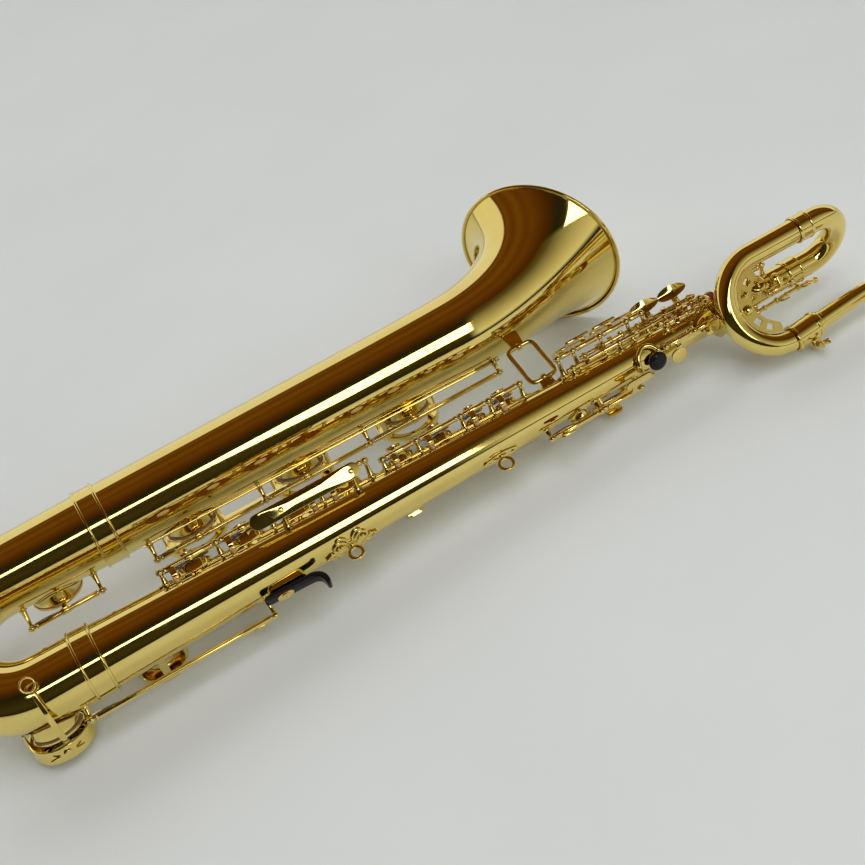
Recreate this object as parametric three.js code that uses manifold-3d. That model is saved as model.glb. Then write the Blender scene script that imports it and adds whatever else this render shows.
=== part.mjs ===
// Baritone saxophone with a low A, laid on its right side. Millimetres, +Z up.
// The air column is described in an instrument frame: +X runs up the body tube from the bow joint,
// +Y points from the body tube to the bell tube, +Z points to the player's left hand side.
import * as THREE from 'three';
import { mergeVertices } from 'three/addons/utils/BufferGeometryUtils.js';
import Module from 'manifold-3d';

const wasm = await Module();
wasm.setup();

// ---------------------------------------------------------------- driving dimensions
const GAP = 0.3;                    // air left between neighbouring pieces
const WALL = 1.2;                   // tube wall, thicker than the real sheet so that it stays printable
const BODY_LENGTH = 810;            // bow joint to upper bow joint
const BODY_R_LOW = 32.8;            // outer radius at the bow joint
const BODY_R_HIGH = 13.0;           // outer radius at the upper bow joint
const BELL_OFFSET = 133;            // body axis to bell axis
const BOW_STRAIGHT = 37.5;          // straight leg of the bow before its turn
const BELL_START = 62;              // height of the bell joint above the body joint
const BELL_R_LOW = 38.8;
const BELL_R_HIGH = 42;
const BELL_STRAIGHT = 412;          // straight stretch of the bell tube
const BELL_BEND_RADIUS = 218;
const BELL_BEND = 41.4;             // degrees that the bell turns forward
const BELL_SWING = -14.8;           // degrees that the flare is turned to the right about the bell tube
const RIM_RADIUS = 88;
const FLARE_START = 330;            // distance along the bell where it starts to open
const FLARE_SHARPNESS = 5.2;
const UPPER_BOW_LEG = 20;
const UPPER_BOW_Y = 3.3;            // second leg of the upper bow, from the body axis
const UPPER_BOW_Z = 60.4;
const CROOK_R = 12.4;
const CROOK_END_R = 10.8;
const CROOK_LEG = 60;               // straight tube below the upper bow
const CROOK_END_Y = -74;
const CROOK_END_Z = 6;
const CROOK_TURN = 184;             // degrees of the lower turn
const RECEIVER_LENGTH = 26;
const NECK_STRAIGHT = 60;
const NECK_TURN = 98;
const NECK_TURN_RADIUS = 50;
const NECK_END_LEG = 46;
const NECK_R_LOW = 9.8;
const NECK_R_END = 7.2;
const CHIMNEY = 4;                  // height of a tone hole wall above the tube
const REST_ROLL = 18.32;            // degrees about X that lay the instrument on its right side
const REST_PITCH = 1.81;            // degrees about Y
const REST_LIFT = 62.97;            // height of the body axis above the surface it lies on
const REST_SHIFT_X = -380.632;      // puts the origin under the middle
const REST_SHIFT_Y = -46.743;

const DEG = Math.PI / 180;
const X_AXIS = new THREE.Vector3(1, 0, 0);
const Y_AXIS = new THREE.Vector3(0, 1, 0);
const Z_AXIS = new THREE.Vector3(0, 0, 1);
const v3 = (x, y, z) => new THREE.Vector3(x, y, z);

// ---------------------------------------------------------------- materials
const finish = (color, roughness, metalness) => () =>
  new THREE.MeshStandardMaterial({ color, roughness, metalness });
const lacquer = finish('#d9ad4c', 0.16, 1);
const keyBrass = finish('#e2b654', 0.18, 1);
const silver = finish('#d8d6cf', 0.2, 1);
const plastic = finish('#101112', 0.3, 0);
const cork = finish('#b98a5a', 0.9, 0);

// ---------------------------------------------------------------- solids and booleans
function solidOf(geometry) {
  const bare = geometry.clone();
  for (const name of Object.keys(bare.attributes)) {
    if (name !== 'position') bare.deleteAttribute(name);
  }
  const merged = mergeVertices(bare, 1e-4);
  const index = merged.index.array;
  const kept = [];
  for (let i = 0; i < index.length; i += 3) {
    const [a, b, c] = [index[i], index[i + 1], index[i + 2]];
    if (a !== b && b !== c && c !== a) kept.push(a, b, c);
  }
  const positions = merged.attributes.position;
  if (signedVolume(positions, kept) < 0) kept.reverse();
  return new wasm.Manifold(new wasm.Mesh({
    numProp: 3,
    vertProperties: new Float32Array(positions.array),
    triVerts: new Uint32Array(kept),
  }));
}

function signedVolume(positions, index) {
  const corners = [v3(), v3(), v3()];
  let volume = 0;
  for (let i = 0; i < index.length; i += 3) {
    corners.forEach((corner, k) => corner.fromBufferAttribute(positions, index[i + k]));
    volume += corners[0].dot(corners[1].clone().cross(corners[2])) / 6;
  }
  return volume;
}

function join(geometries) {
  return geometries.map((item) => (item.isBufferGeometry ? solidOf(item) : item))
    .reduce((sum, item) => sum.add(item));
}

function geometryOf(solid) {
  const mesh = solid.getMesh();
  const geometry = new THREE.BufferGeometry();
  geometry.setAttribute('position', new THREE.Float32BufferAttribute(mesh.vertProperties, 3));
  geometry.setIndex([...mesh.triVerts]);
  geometry.computeVertexNormals();
  return geometry;
}

function meshOf(name, shape, material, parent = instrument) {
  const geometry = shape.isBufferGeometry ? geometryOf(solidOf(shape)) : geometryOf(shape);
  const mesh = new THREE.Mesh(geometry, material());
  mesh.name = name;
  parent.add(mesh);
  return mesh;
}

// ---------------------------------------------------------------- routes of bent tubes
// A route is a chain of straight and circular legs. at(s) gives the point and the frame there.
function routeOf(start, tangent, normal, pieces) {
  const legs = [];
  let here = { p: start.clone(), t: tangent.clone().normalize(), n: normal.clone().normalize() };
  let s = 0;
  for (const piece of pieces) {
    const leg = { ...here, s, ...piece };
    legs.push(leg);
    here = frameOn(leg, piece.length);
    s += piece.length;
  }
  const at = (u) => {
    let leg = legs[0];
    for (const next of legs) if (u >= next.s) leg = next;
    return frameOn(leg, u - leg.s);
  };
  return { at, length: s };
}

function frameOn(leg, distance) {
  if (!leg.radius) {
    return { p: leg.p.clone().addScaledVector(leg.t, distance), t: leg.t.clone(), n: leg.n.clone() };
  }
  const angle = distance / leg.radius;
  const centre = leg.p.clone().addScaledVector(leg.axis.clone().cross(leg.t), leg.radius);
  const arm = leg.p.clone().sub(centre).applyAxisAngle(leg.axis, angle);
  return {
    p: centre.add(arm),
    t: leg.t.clone().applyAxisAngle(leg.axis, angle),
    n: leg.n.clone().applyAxisAngle(leg.axis, angle),
  };
}

const straight = (length) => ({ length });
const turn = (tangent, toward, degrees, radius) => ({
  length: degrees * DEG * radius, radius, axis: tangent.clone().cross(toward).normalize(),
});

// Revolves a closed profile of [radius, distance] points and bends it along a route.
function bentRevolve(profile, route, around) {
  const points = profile.map(([r, s]) => new THREE.Vector2(r, s));
  const geometry = new THREE.LatheGeometry(points, around);
  const positions = geometry.attributes.position;
  for (let i = 0; i < positions.count; i += 1) {
    const frame = route.at(positions.getY(i));
    const side = frame.n.clone().cross(frame.t);
    const point = frame.p.clone()
      .addScaledVector(frame.n, positions.getX(i))
      .addScaledVector(side, positions.getZ(i));
    positions.setXYZ(i, point.x, point.y, point.z);
  }
  return geometry;
}

// Outer skin of a tube whose radius is a function of the distance, as a solid bar.
function barAlong(route, from, to, steps, radiusAt, around, grow = 0) {
  const profile = [[0, from]];
  for (let i = 0; i <= steps; i += 1) {
    const s = from + (to - from) * i / steps;
    profile.push([radiusAt(s) + grow, s]);
  }
  profile.push([0, to]);
  return bentRevolve(profile, route, around);
}

// Tube with an open bore.
function tubeAlong(route, from, to, steps, radiusAt, around, wall = WALL) {
  const outer = [];
  const inner = [];
  for (let i = 0; i <= steps; i += 1) {
    const s = from + (to - from) * i / steps;
    outer.push([radiusAt(s), s]);
    inner.push([radiusAt(s) - wall, s]);
  }
  const profile = [...outer, ...inner.reverse()];
  profile.push(profile[0]);
  return bentRevolve(profile, route, around);
}

const mix = (a, b, u) => a + (b - a) * u;

// ---------------------------------------------------------------- small shapes
function cylinderBetween(a, b, r, around = 8) {
  const geometry = new THREE.CylinderGeometry(r, r, a.distanceTo(b), around);
  const turnTo = new THREE.Quaternion().setFromUnitVectors(Y_AXIS, b.clone().sub(a).normalize());
  geometry.applyQuaternion(turnTo);
  const middle = a.clone().add(b).multiplyScalar(0.5);
  return geometry.translate(middle.x, middle.y, middle.z);
}

// Flat bar from a to b; width lies along the given direction.
function barBetween(a, b, width, thickness, widthDir = X_AXIS) {
  const along = b.clone().sub(a);
  const length = along.length();
  along.normalize();
  const side = widthDir.clone().addScaledVector(along, -widthDir.dot(along)).normalize();
  const up = along.clone().cross(side);
  const geometry = new THREE.BoxGeometry(width, length, thickness);
  geometry.applyMatrix4(new THREE.Matrix4().makeBasis(side, along, up.negate()));
  const middle = a.clone().add(b).multiplyScalar(0.5);
  return geometry.translate(middle.x, middle.y, middle.z);
}

// Turned shape of [radius, height] points standing on a point along a direction.
function turned(profile, at, direction, around = 10) {
  const points = profile.map(([r, h]) => new THREE.Vector2(r, h));
  const geometry = new THREE.LatheGeometry(points, around);
  geometry.applyQuaternion(new THREE.Quaternion().setFromUnitVectors(Y_AXIS, direction.clone().normalize()));
  return geometry.translate(at.x, at.y, at.z);
}

// Round wire through a list of points, sharp bends rounded by a smooth curve.
function wire(points, radius, steps, closed = false, around = 6) {
  const curve = new THREE.CatmullRomCurve3(points, closed, 'catmullrom', 0.5);
  const shape = new THREE.Shape();
  shape.absarc(0, 0, radius, 0, Math.PI * 2, false);
  return new THREE.ExtrudeGeometry(shape, { steps, extrudePath: curve, curveSegments: around });
}

// Flat plate cut from an outline in its own X-Y plane, standing on z = 0.
function plate(shape, thickness, curveSegments = 6) {
  return new THREE.ExtrudeGeometry(shape, { depth: thickness, bevelEnabled: false, curveSegments });
}

function roundedSlab(length, width, corner) {
  const shape = new THREE.Shape();
  const [x, y] = [length / 2 - corner, width / 2 - corner];
  shape.absarc(x, y, corner, 0, Math.PI / 2, false);
  shape.absarc(-x, y, corner, Math.PI / 2, Math.PI, false);
  shape.absarc(-x, -y, corner, Math.PI, Math.PI * 1.5, false);
  shape.absarc(x, -y, corner, Math.PI * 1.5, Math.PI * 2, false);
  shape.closePath();
  return shape;
}

// ---------------------------------------------------------------- the tubes
const instrument = new THREE.Group();
const bodyRadius = (x) => mix(BODY_R_LOW, BODY_R_HIGH, x / BODY_LENGTH);
const bodyRoute = routeOf(v3(0, 0, 0), X_AXIS, Z_AXIS, [straight(BODY_LENGTH)]);

const bowTurnRadius = BELL_OFFSET / 2;
const bowRoute = routeOf(v3(0, 0, 0), v3(-1, 0, 0), Z_AXIS, [
  straight(BOW_STRAIGHT),
  turn(v3(-1, 0, 0), Y_AXIS, 180, bowTurnRadius),
  straight(BOW_STRAIGHT + BELL_START),
]);
const bowRadius = (s) => mix(BODY_R_LOW, BELL_R_LOW, s / bowRoute.length);

const bellSwing = v3(0, Math.cos(BELL_SWING * DEG), Math.sin(BELL_SWING * DEG));
const bellRoute = routeOf(v3(BELL_START, BELL_OFFSET, 0), X_AXIS, Z_AXIS, [
  straight(BELL_STRAIGHT),
  turn(X_AXIS, bellSwing, BELL_BEND, BELL_BEND_RADIUS),
]);
const bellRadius = (s) => {
  const base = mix(BELL_R_LOW, BELL_R_HIGH, Math.min(1, s / BELL_STRAIGHT));
  const open = Math.max(0, (s - FLARE_START) / (bellRoute.length - FLARE_START));
  const flare = (Math.exp(FLARE_SHARPNESS * open) - 1) / (Math.exp(FLARE_SHARPNESS) - 1);
  return mix(base, RIM_RADIUS, flare);
};

const upperBowSide = v3(0, UPPER_BOW_Y, UPPER_BOW_Z).normalize();
const upperBowRadius = Math.hypot(UPPER_BOW_Y, UPPER_BOW_Z) / 2;
const upperBowRoute = routeOf(v3(BODY_LENGTH, 0, 0), X_AXIS, Y_AXIS, [
  straight(UPPER_BOW_LEG),
  turn(X_AXIS, upperBowSide, 180, upperBowRadius),
  straight(UPPER_BOW_LEG),
]);
const upperBowTube = (s) => mix(BODY_R_HIGH, CROOK_R, s / upperBowRoute.length);

const crookStart = v3(BODY_LENGTH, UPPER_BOW_Y, UPPER_BOW_Z);
const crookSide = v3(0, CROOK_END_Y - UPPER_BOW_Y, CROOK_END_Z - UPPER_BOW_Z);
const crookTurnRadius = crookSide.length() / 2;
const crookRoute = routeOf(crookStart, v3(-1, 0, 0), Y_AXIS, [
  straight(CROOK_LEG),
  turn(v3(-1, 0, 0), crookSide, CROOK_TURN, crookTurnRadius),
  straight(RECEIVER_LENGTH),
]);
const crookEnd = crookRoute.length - RECEIVER_LENGTH;
const crookRadius = (s) => mix(CROOK_R, CROOK_END_R, s / crookRoute.length);

const receiverFrame = crookRoute.at(crookRoute.length);
const neckSide = v3(0, -1, 0.15).normalize();
const neckRoute = routeOf(receiverFrame.p, receiverFrame.t, receiverFrame.n, [
  straight(NECK_STRAIGHT),
  turn(receiverFrame.t, neckSide, NECK_TURN, NECK_TURN_RADIUS),
  straight(NECK_END_LEG),
]);
const neckRadius = (s) => mix(NECK_R_LOW, NECK_R_END, Math.max(0, s) / neckRoute.length);

// Solids a little larger than each tube, used to trim the feet of whatever is soldered to it.
const clearBody = solidOf(barAlong(bodyRoute, -1, BODY_LENGTH + 1, 1, bodyRadius, 20, GAP));
const clearBow = solidOf(barAlong(bowRoute, GAP / 2, bowRoute.length - GAP / 2, 10, bowRadius, 20, GAP));
const clearBell = solidOf(barAlong(bellRoute, -1, bellRoute.length - 1, 24, bellRadius, 22, GAP));
const clearUpperBow = solidOf(barAlong(upperBowRoute, -1, upperBowRoute.length + 1, 16, upperBowTube, 14, GAP));
const clearCrook = solidOf(barAlong(crookRoute, GAP / 2, crookEnd, 11, crookRadius, 14, GAP));

// ---------------------------------------------------------------- tone holes
// Every key sits in a key frame: the tube runs along X at z = 0 and the tone hole points up +Z.
const TUBES = {
  body: { axisY: 0, radius: (x) => (x < 0 ? bowRadius(-x) : bodyRadius(x)) },
  bell: { axisY: BELL_OFFSET, radius: (x) => (x < BELL_START
    ? bowRadius(bowRoute.length - BELL_START + x) : bellRadius(x - BELL_START)) },
};
const keyFrames = new Map();

function keyFrame(tube, theta) {
  const id = `${tube} ${theta}`;
  if (!keyFrames.has(id)) {
    const group = new THREE.Group();
    group.position.set(0, TUBES[tube].axisY, 0);
    group.rotation.x = (theta - 90) * DEG;
    group.updateMatrix();
    instrument.add(group);
    keyFrames.set(id, group);
  }
  return keyFrames.get(id);
}

const holeTop = (spec) => TUBES[spec.tube].radius(spec.x) + CHIMNEY;

function holeBar(spec, radius, from, to) {
  const bar = cylinderBetween(v3(spec.x, 0, from), v3(spec.x, 0, to), radius, spec.hole > 16 ? 12 : 9);
  return solidOf(bar.applyMatrix4(keyFrame(spec.tube, spec.theta).matrix));
}

// Adds a chimney for each tone hole to a tube and opens it to the bore.
function drill(outer, inner, holes) {
  let skin = solidOf(outer);
  let bore = solidOf(inner);
  for (const hole of holes) {
    const inside = TUBES[hole.tube].radius(hole.x) * 0.55;
    skin = skin.add(holeBar(hole, hole.hole, inside, holeTop(hole)));
    bore = bore.add(holeBar(hole, hole.hole - WALL, inside * 0.8, holeTop(hole) + 2));
  }
  return skin.subtract(bore);
}

// ---------------------------------------------------------------- keys
const CUP_EDGE = 1.6;               // a pad cup is this much wider than its hole wall
const CUP_HEIGHT = 5;
const BARREL_R = 2.7;
const POST_R = 3.5;
const PRESS_OPEN = 1;
const PRESS_CLOSE = -1;

function padCup(x, z, r, around = r > 17 ? 12 : 9) {
  return turned([[0, 0], [r, 0], [r, CUP_HEIGHT * 0.6], [r * 0.7, CUP_HEIGHT], [0, CUP_HEIGHT]],
    v3(x, 0, z), Z_AXIS, around);
}

function pearl(x, y, z, r = 8) {
  return turned([[0, 0], [r * 0.6, 0], [r, 1.6], [r, 3.6], [0, 4.2]], v3(x, y, z), Z_AXIS, 7);
}

const barrel = (from, to, y, z, r = BARREL_R) => cylinderBetween(v3(from, y, z), v3(to, y, z), r, 6);

// A hinged piece: shapes are given in the key frame, the mesh turns about a line along X.
function hingedKey(spec, shapes) {
  const frame = keyFrame(spec.tube, spec.theta);
  const hinge = v3(mix(spec.barrel[0], spec.barrel[1], 0.5), spec.hingeY, spec.hingeZ);
  const solid = join(shapes.map((shape) => shape.translate(-hinge.x, -hinge.y, -hinge.z)));
  const mesh = meshOf(spec.name, solid, spec.material ?? keyBrass, frame);
  mesh.position.copy(hinge);
  mesh.rotation.x = (spec.restTurn ?? 0) * DEG;
  mesh.userData.joint = {
    type: 'hinge', axis: [spec.pressTurn, 0, 0], range: [0, spec.travel],
    spring: true, couples: spec.couples,
  };
  return mesh;
}

// A pad key: barrel, arm and cup, plus the pieces that the finger or the linkage meets.
// side is -1 or +1, the side of the hole that the hinge is on.
function padKey(spec, extras = []) {
  const top = holeTop(spec) + GAP;
  const side = spec.hingeY < 0 ? -1 : 1;
  const opensAbout = -side;
  const open = spec.press === PRESS_CLOSE;
  const armX = spec.armX ?? spec.x;
  const shapes = [
    barrel(spec.barrel[0], spec.barrel[1], spec.hingeY, spec.hingeZ),
    padCup(spec.x, top, spec.hole + CUP_EDGE, spec.around),
    barBetween(v3(armX, spec.hingeY - side, spec.hingeZ + BARREL_R - 0.6), v3(armX, 0, top + CUP_HEIGHT), 5, 2.6),
    ...extras,
  ];
  if (armX !== spec.x) {
    shapes.push(barBetween(v3(armX + 2.5, 0, top + CUP_HEIGHT), v3(spec.x, 0, top + CUP_HEIGHT), 5, 2.6, Y_AXIS));
  }
  return hingedKey({
    ...spec,
    restTurn: open ? opensAbout * spec.travel : 0,
    pressTurn: open ? -opensAbout : opensAbout,
  }, shapes);
}

// ---------------------------------------------------------------- posts and ribs
// Posts stand radially on a tube and hold the hinge line at (y, z) of a key frame.
function postTo(tube, x, y, z, sink = 3) {
  const reach = Math.hypot(y, z);
  const direction = v3(0, y, z).normalize();
  const foot = TUBES[tube].radius(x) - sink;
  const height = reach - foot;
  const profile = [[0, 0], [4, 0], [1.8, sink + 3], [POST_R, height], [0, height + POST_R]];
  return turned(profile, direction.clone().multiplyScalar(foot).setX(x), direction, 5);
}

// A rib is a strip on the tube with its posts, made in a key frame.
function rib(name, tube, theta, hingeLine, postsAt, clear, extras = []) {
  const frame = keyFrame(tube, theta);
  const [y, z] = hingeLine;
  const from = Math.min(...postsAt) - 7;
  const to = Math.max(...postsAt) + 7;
  const direction = v3(0, y, z).normalize();
  const widthDir = direction.clone().cross(X_AXIS);
  const a = direction.clone().multiplyScalar(TUBES[tube].radius(from) + 0.2).setX(from);
  const b = direction.clone().multiplyScalar(TUBES[tube].radius(to) + 0.2).setX(to);
  const strip = barBetween(a, b, 8, 2.6, widthDir);
  const solid = join([strip, ...postsAt.map((x) => postTo(tube, x, y, z)), ...extras]);
  const trimmed = solid.transform([...frame.matrix.elements]).subtract(clear);
  return meshOf(name, largest(trimmed), lacquer);
}

// ---------------------------------------------------------------- key data
// x: tone hole along the tube; hole: outer radius of its wall; barrel: span of the hinge tube.
const STACK_THETA = 15;
const lowerStack = { tube: 'body', theta: STACK_THETA, hingeY: -24, hingeZ: 36.5, travel: 13, press: PRESS_CLOSE };
const upperStack = { tube: 'body', theta: STACK_THETA, hingeY: -20, hingeZ: 29.8, travel: 13, press: PRESS_CLOSE };
const bellKeys = { tube: 'bell', theta: -115, hingeY: 34, hingeZ: 46, travel: 10, press: PRESS_CLOSE };
const palmKeys = { tube: 'body', theta: -15, hingeY: -15, hingeZ: 23.5, travel: 12, press: PRESS_OPEN };
const KEYS = {
  d: { ...lowerStack, name: 'key_d', x: 130, hole: 19, barrel: [104, 154] },
  e: { ...lowerStack, name: 'key_e', x: 186, hole: 18.6, barrel: [162, 209] },
  f: { ...lowerStack, name: 'key_f', x: 240, hole: 18, barrel: [217, 262] },
  fSharp: { ...lowerStack, name: 'key_f_sharp', x: 292, hole: 17.4, barrel: [270, 314] },
  g: { ...upperStack, name: 'key_g', x: 353, hole: 15, barrel: [338, 368] },
  a: { ...upperStack, name: 'key_a', x: 397, hole: 14, barrel: [376, 418] },
  bis: { ...upperStack, name: 'key_bis', x: 438, hole: 11.5, barrel: [426, 450] },
  b: { ...upperStack, name: 'key_b', x: 472, hole: 12, barrel: [458, 486] },
  gSharp: { name: 'key_g_sharp', tube: 'body', theta: -48, x: 398, hole: 13, hingeY: 19, hingeZ: 30.5,
    barrel: [384, 412], travel: 11, press: PRESS_OPEN },
  sideBFlat: { name: 'key_side_b_flat', tube: 'body', theta: -66, x: 470, hole: 11, hingeY: 16.5, hingeZ: 29,
    barrel: [336, 484], travel: 11, press: PRESS_OPEN },
  sideC: { name: 'key_side_c', tube: 'body', theta: -140, x: 533, hole: 10.8, hingeY: 16, hingeZ: 27,
    barrel: [496, 546], travel: 11, press: PRESS_OPEN },
  highE: { name: 'key_high_e', tube: 'body', theta: -85, x: 592, hole: 9.6, hingeY: 15, hingeZ: 25,
    barrel: [560, 604], travel: 11, press: PRESS_OPEN },
  palmD: { ...palmKeys, name: 'key_palm_d', x: 655, hole: 9, barrel: [642, 664] },
  palmEFlat: { ...palmKeys, name: 'key_palm_e_flat', x: 684, hole: 9, barrel: [672, 697] },
  palmF: { name: 'key_palm_f', tube: 'body', theta: 105, x: 757, hole: 9, hingeY: 15, hingeZ: 21,
    barrel: [732, 770], travel: 12, press: PRESS_OPEN },
  octaveVent: { name: 'octave_vent_key', tube: 'body', theta: 157, x: 690, hole: 3.6, hingeY: 10, hingeZ: 22,
    barrel: [676, 698], travel: 10, press: PRESS_OPEN },
  upperOctave: { name: 'upper_octave_key', tube: 'body', theta: 115, x: 780, hole: 3.6, hingeY: -11, hingeZ: 19.5,
    barrel: [768, 788], travel: 10, press: PRESS_OPEN },
  lowEFlat: { name: 'key_low_e_flat', tube: 'body', theta: -88, x: 62, hole: 21, hingeY: -27, hingeZ: 38,
    barrel: [36, 176], travel: 9, press: PRESS_OPEN },
  lowC: { name: 'key_low_c', tube: 'body', theta: -118, x: -48, hole: 24, hingeY: 28, hingeZ: 36,
    barrel: [-12, 170], armX: -9, travel: 12, press: PRESS_CLOSE },
  lowCSharp: { ...bellKeys, name: 'key_low_c_sharp', x: 5, hole: 25, barrel: [-26, 40], press: PRESS_OPEN },
  lowB: { ...bellKeys, name: 'key_low_b', x: 150, hole: 26, barrel: [108, 221] },
  lowBFlat: { ...bellKeys, name: 'key_low_b_flat', x: 273, hole: 26.5, barrel: [229, 341] },
  lowA: { ...bellKeys, name: 'key_low_a', x: 398, hole: 27, barrel: [349, 496] },
};

// Room for the tubes and their tone hole walls, so that ribs and guards stop short of them.
const wallRoom = (tube, solid) => Object.values(KEYS).filter((key) => key.tube === tube)
  .reduce((sum, key) => sum.add(holeBar(key, key.hole + 1, 5, holeTop(key) + GAP)), solid);
const bodyRoom = wallRoom('body', clearBody);
const bellRoom = wallRoom('bell', clearBell);

// Single posts that are soldered straight to a tube: [tube, theta, y, z, places].
const BODY_POSTS = [
  ['body', -48, 19, 30.5, [380, 416]],
  ['body', -66, 16.5, 29, [332, 488]],
  ['body', -140, 16, 27, [492, 550]],
  ['body', -85, 15, 25, [556, 608]],
  ['body', -15, -15, 23.5, [638, 668, 700.5]],
  ['body', 105, 15, 21, [728, 774]],
  ['body', -118, 28, 36, [174]],
  ['body', 157, 10, 22, [638, 672, 702]],
  ['body', 180, -9, 28, [556, 600]],
  ['body', 115, -11, 19.5, [764, 792]],
];
const BOW_POSTS = [
  ['bell', -115, 34, 46, [-30, 44]],
  ['body', -118, 28, 36, [-16]],
];

// ---------------------------------------------------------------- bodies of the air column
function solderedPosts(table) {
  const placed = table.flatMap(([tube, theta, y, z, places]) => places.map((x) =>
    solidOf(postTo(tube, x, y, z, 0.9)).transform([...keyFrame(tube, theta).matrix.elements])));
  return join(placed);
}

function makeTubes() {
  const bodyHoles = Object.values(KEYS).filter((key) => key.tube === 'body' && key.x > 0);
  const drilledBody = drill(
    barAlong(bodyRoute, GAP / 2, BODY_LENGTH - GAP / 2, 1, bodyRadius, 20),
    barAlong(bodyRoute, -5, BODY_LENGTH + 5, 1, bodyRadius, 20, -WALL),
    bodyHoles,
  );
  meshOf('body_tube', drilledBody.add(solderedPosts(BODY_POSTS)), lacquer);
  const drilledBow = drill(
    barAlong(bowRoute, GAP / 2, bowRoute.length - GAP / 2, 10, bowRadius, 20),
    barAlong(bowRoute, -5, bowRoute.length + 5, 10, bowRadius, 20, -WALL),
    [KEYS.lowC, KEYS.lowCSharp],
  );
  meshOf('bow', drilledBow.add(solderedPosts(BOW_POSTS)), lacquer);
  const end = bellRoute.length;
  const bellProfile = bellSections();
  const skin = [...bellProfile.map(([r, s]) => [r, s]), [RIM_RADIUS + 2, end - 3.2], [RIM_RADIUS + 2, end]];
  const bore = bellProfile.map(([r, s]) => [r - WALL, s]);
  const outerBell = bentRevolve([[0, GAP / 2], ...skin, [0, end]], bellRoute, 22);
  const innerBell = bentRevolve([[0, -6], [bore[0][0], -6], ...bore, [RIM_RADIUS - WALL, end + 4], [0, end + 4]],
    bellRoute, 22);
  meshOf('bell', drill(outerBell, innerBell, [KEYS.lowB, KEYS.lowBFlat, KEYS.lowA]), lacquer);
  meshOf('upper_bow', tubeAlong(upperBowRoute, GAP / 2, upperBowRoute.length - GAP / 2, 9, upperBowTube, 14),
    lacquer);
  meshOf('crook', tubeAlong(crookRoute, GAP / 2, crookEnd, 11, crookRadius, 14), lacquer);
}

// Sections of the bell: few where it is straight, many in the flare.
function bellSections() {
  const end = bellRoute.length;
  const sections = [GAP / 2, FLARE_START];
  const steps = 8;
  for (let i = 1; i <= steps; i += 1) sections.push(mix(FLARE_START, end - 3.2, 1 - (1 - i / steps) ** 1.5));
  return sections.map((s) => [bellRadius(s), s]);
}

// Joint sleeve round two tube ends, with a raised bead at each end.
function sleeve(name, route, from, to, radiusAt, around, bead = 1.4) {
  const wall = 1.4;
  const inner = (s) => radiusAt(s) + GAP + 0.1;
  const bump = 3;
  const profile = [
    [inner(from), from], [inner(from) + wall + bead, from], [inner(from) + wall, from + bump],
    [inner(to) + wall, to - bump], [inner(to) + wall + bead, to], [inner(to), to], [inner(from), from],
  ];
  return meshOf(name, bentRevolve(profile, route, around), lacquer);
}

function makeSleeves() {
  sleeve('body_bow_ring', bodyRoute, -2, 21, bodyRadius, 20);
  sleeve('bell_bow_ring', bellRoute, -2, 21, bellRadius, 22);
  sleeve('body_top_ring', bodyRoute, 798, 815, () => BODY_R_HIGH + 0.6, 14, 0.9);
  sleeve('upper_bow_ring', crookRoute, -13, 4, () => CROOK_R + 0.5, 14, 0.9);
}

// Sleeve that takes the neck, with the lug for its clamp screw.
const awayFromLoop = crookSide.clone().normalize();
const RECEIVER_R = 13.4;
const LUG_REACH = 19;
const SCREW_R = 1.8;

function makeReceiver() {
  const inner = crookRadius(crookEnd) + GAP + 0.3;
  const from = crookEnd - 3;
  const to = crookRoute.length - 0.5;
  const profile = [[inner, from], [RECEIVER_R + 0.8, from], [RECEIVER_R, from + 4], [RECEIVER_R, to - 4],
    [RECEIVER_R + 0.8, to], [inner, to], [inner, from]];
  const sleeveSolid = solidOf(bentRevolve(profile, crookRoute, 16));
  const lugCentre = crookRoute.at(to - 8);
  const away = lugAway(lugCentre);
  const lug = barBetween(lugCentre.p.clone().addScaledVector(away, RECEIVER_R - 1),
    lugCentre.p.clone().addScaledVector(away, LUG_REACH + 3.5), 8, 8, lugCentre.t);
  const hole = screwLine(lugCentre, away, 12, SCREW_R + GAP);
  meshOf('neck_receiver', sleeveSolid.add(solidOf(lug)).subtract(solidOf(hole)), lacquer);
  const screw = [screwLine(lugCentre, away, 9, SCREW_R), wing(lugCentre, away)];
  const mesh = meshOf('neck_screw', join(screw), silver);
  const axis = lugCentre.t.clone().cross(away).normalize();
  const seat = lugCentre.p.clone().addScaledVector(away, LUG_REACH);
  mesh.geometry.translate(-seat.x, -seat.y, -seat.z);
  mesh.position.copy(seat);
  mesh.userData.joint = { type: 'hinge', axis: axis.toArray(), continuous: true };
}

function lugAway(frame) {
  return awayFromLoop.clone().addScaledVector(frame.t, -awayFromLoop.dot(frame.t)).normalize();
}

function screwLine(frame, away, half, radius) {
  const centre = frame.p.clone().addScaledVector(away, LUG_REACH);
  const axis = frame.t.clone().cross(away).normalize();
  return cylinderBetween(centre.clone().addScaledVector(axis, -half), centre.clone().addScaledVector(axis, half),
    radius, 10);
}

function wing(frame, away) {
  const axis = frame.t.clone().cross(away).normalize();
  const root = frame.p.clone().addScaledVector(away, LUG_REACH).addScaledVector(axis, -5.5);
  const tip = root.clone().addScaledVector(axis, -13);
  return join([
    cylinderBetween(root, root.clone().addScaledVector(axis, -4), 3.6, 10),
    barBetween(root.clone().addScaledVector(axis, -3), tip, 11, 2.4, frame.t),
  ]);
}

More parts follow.
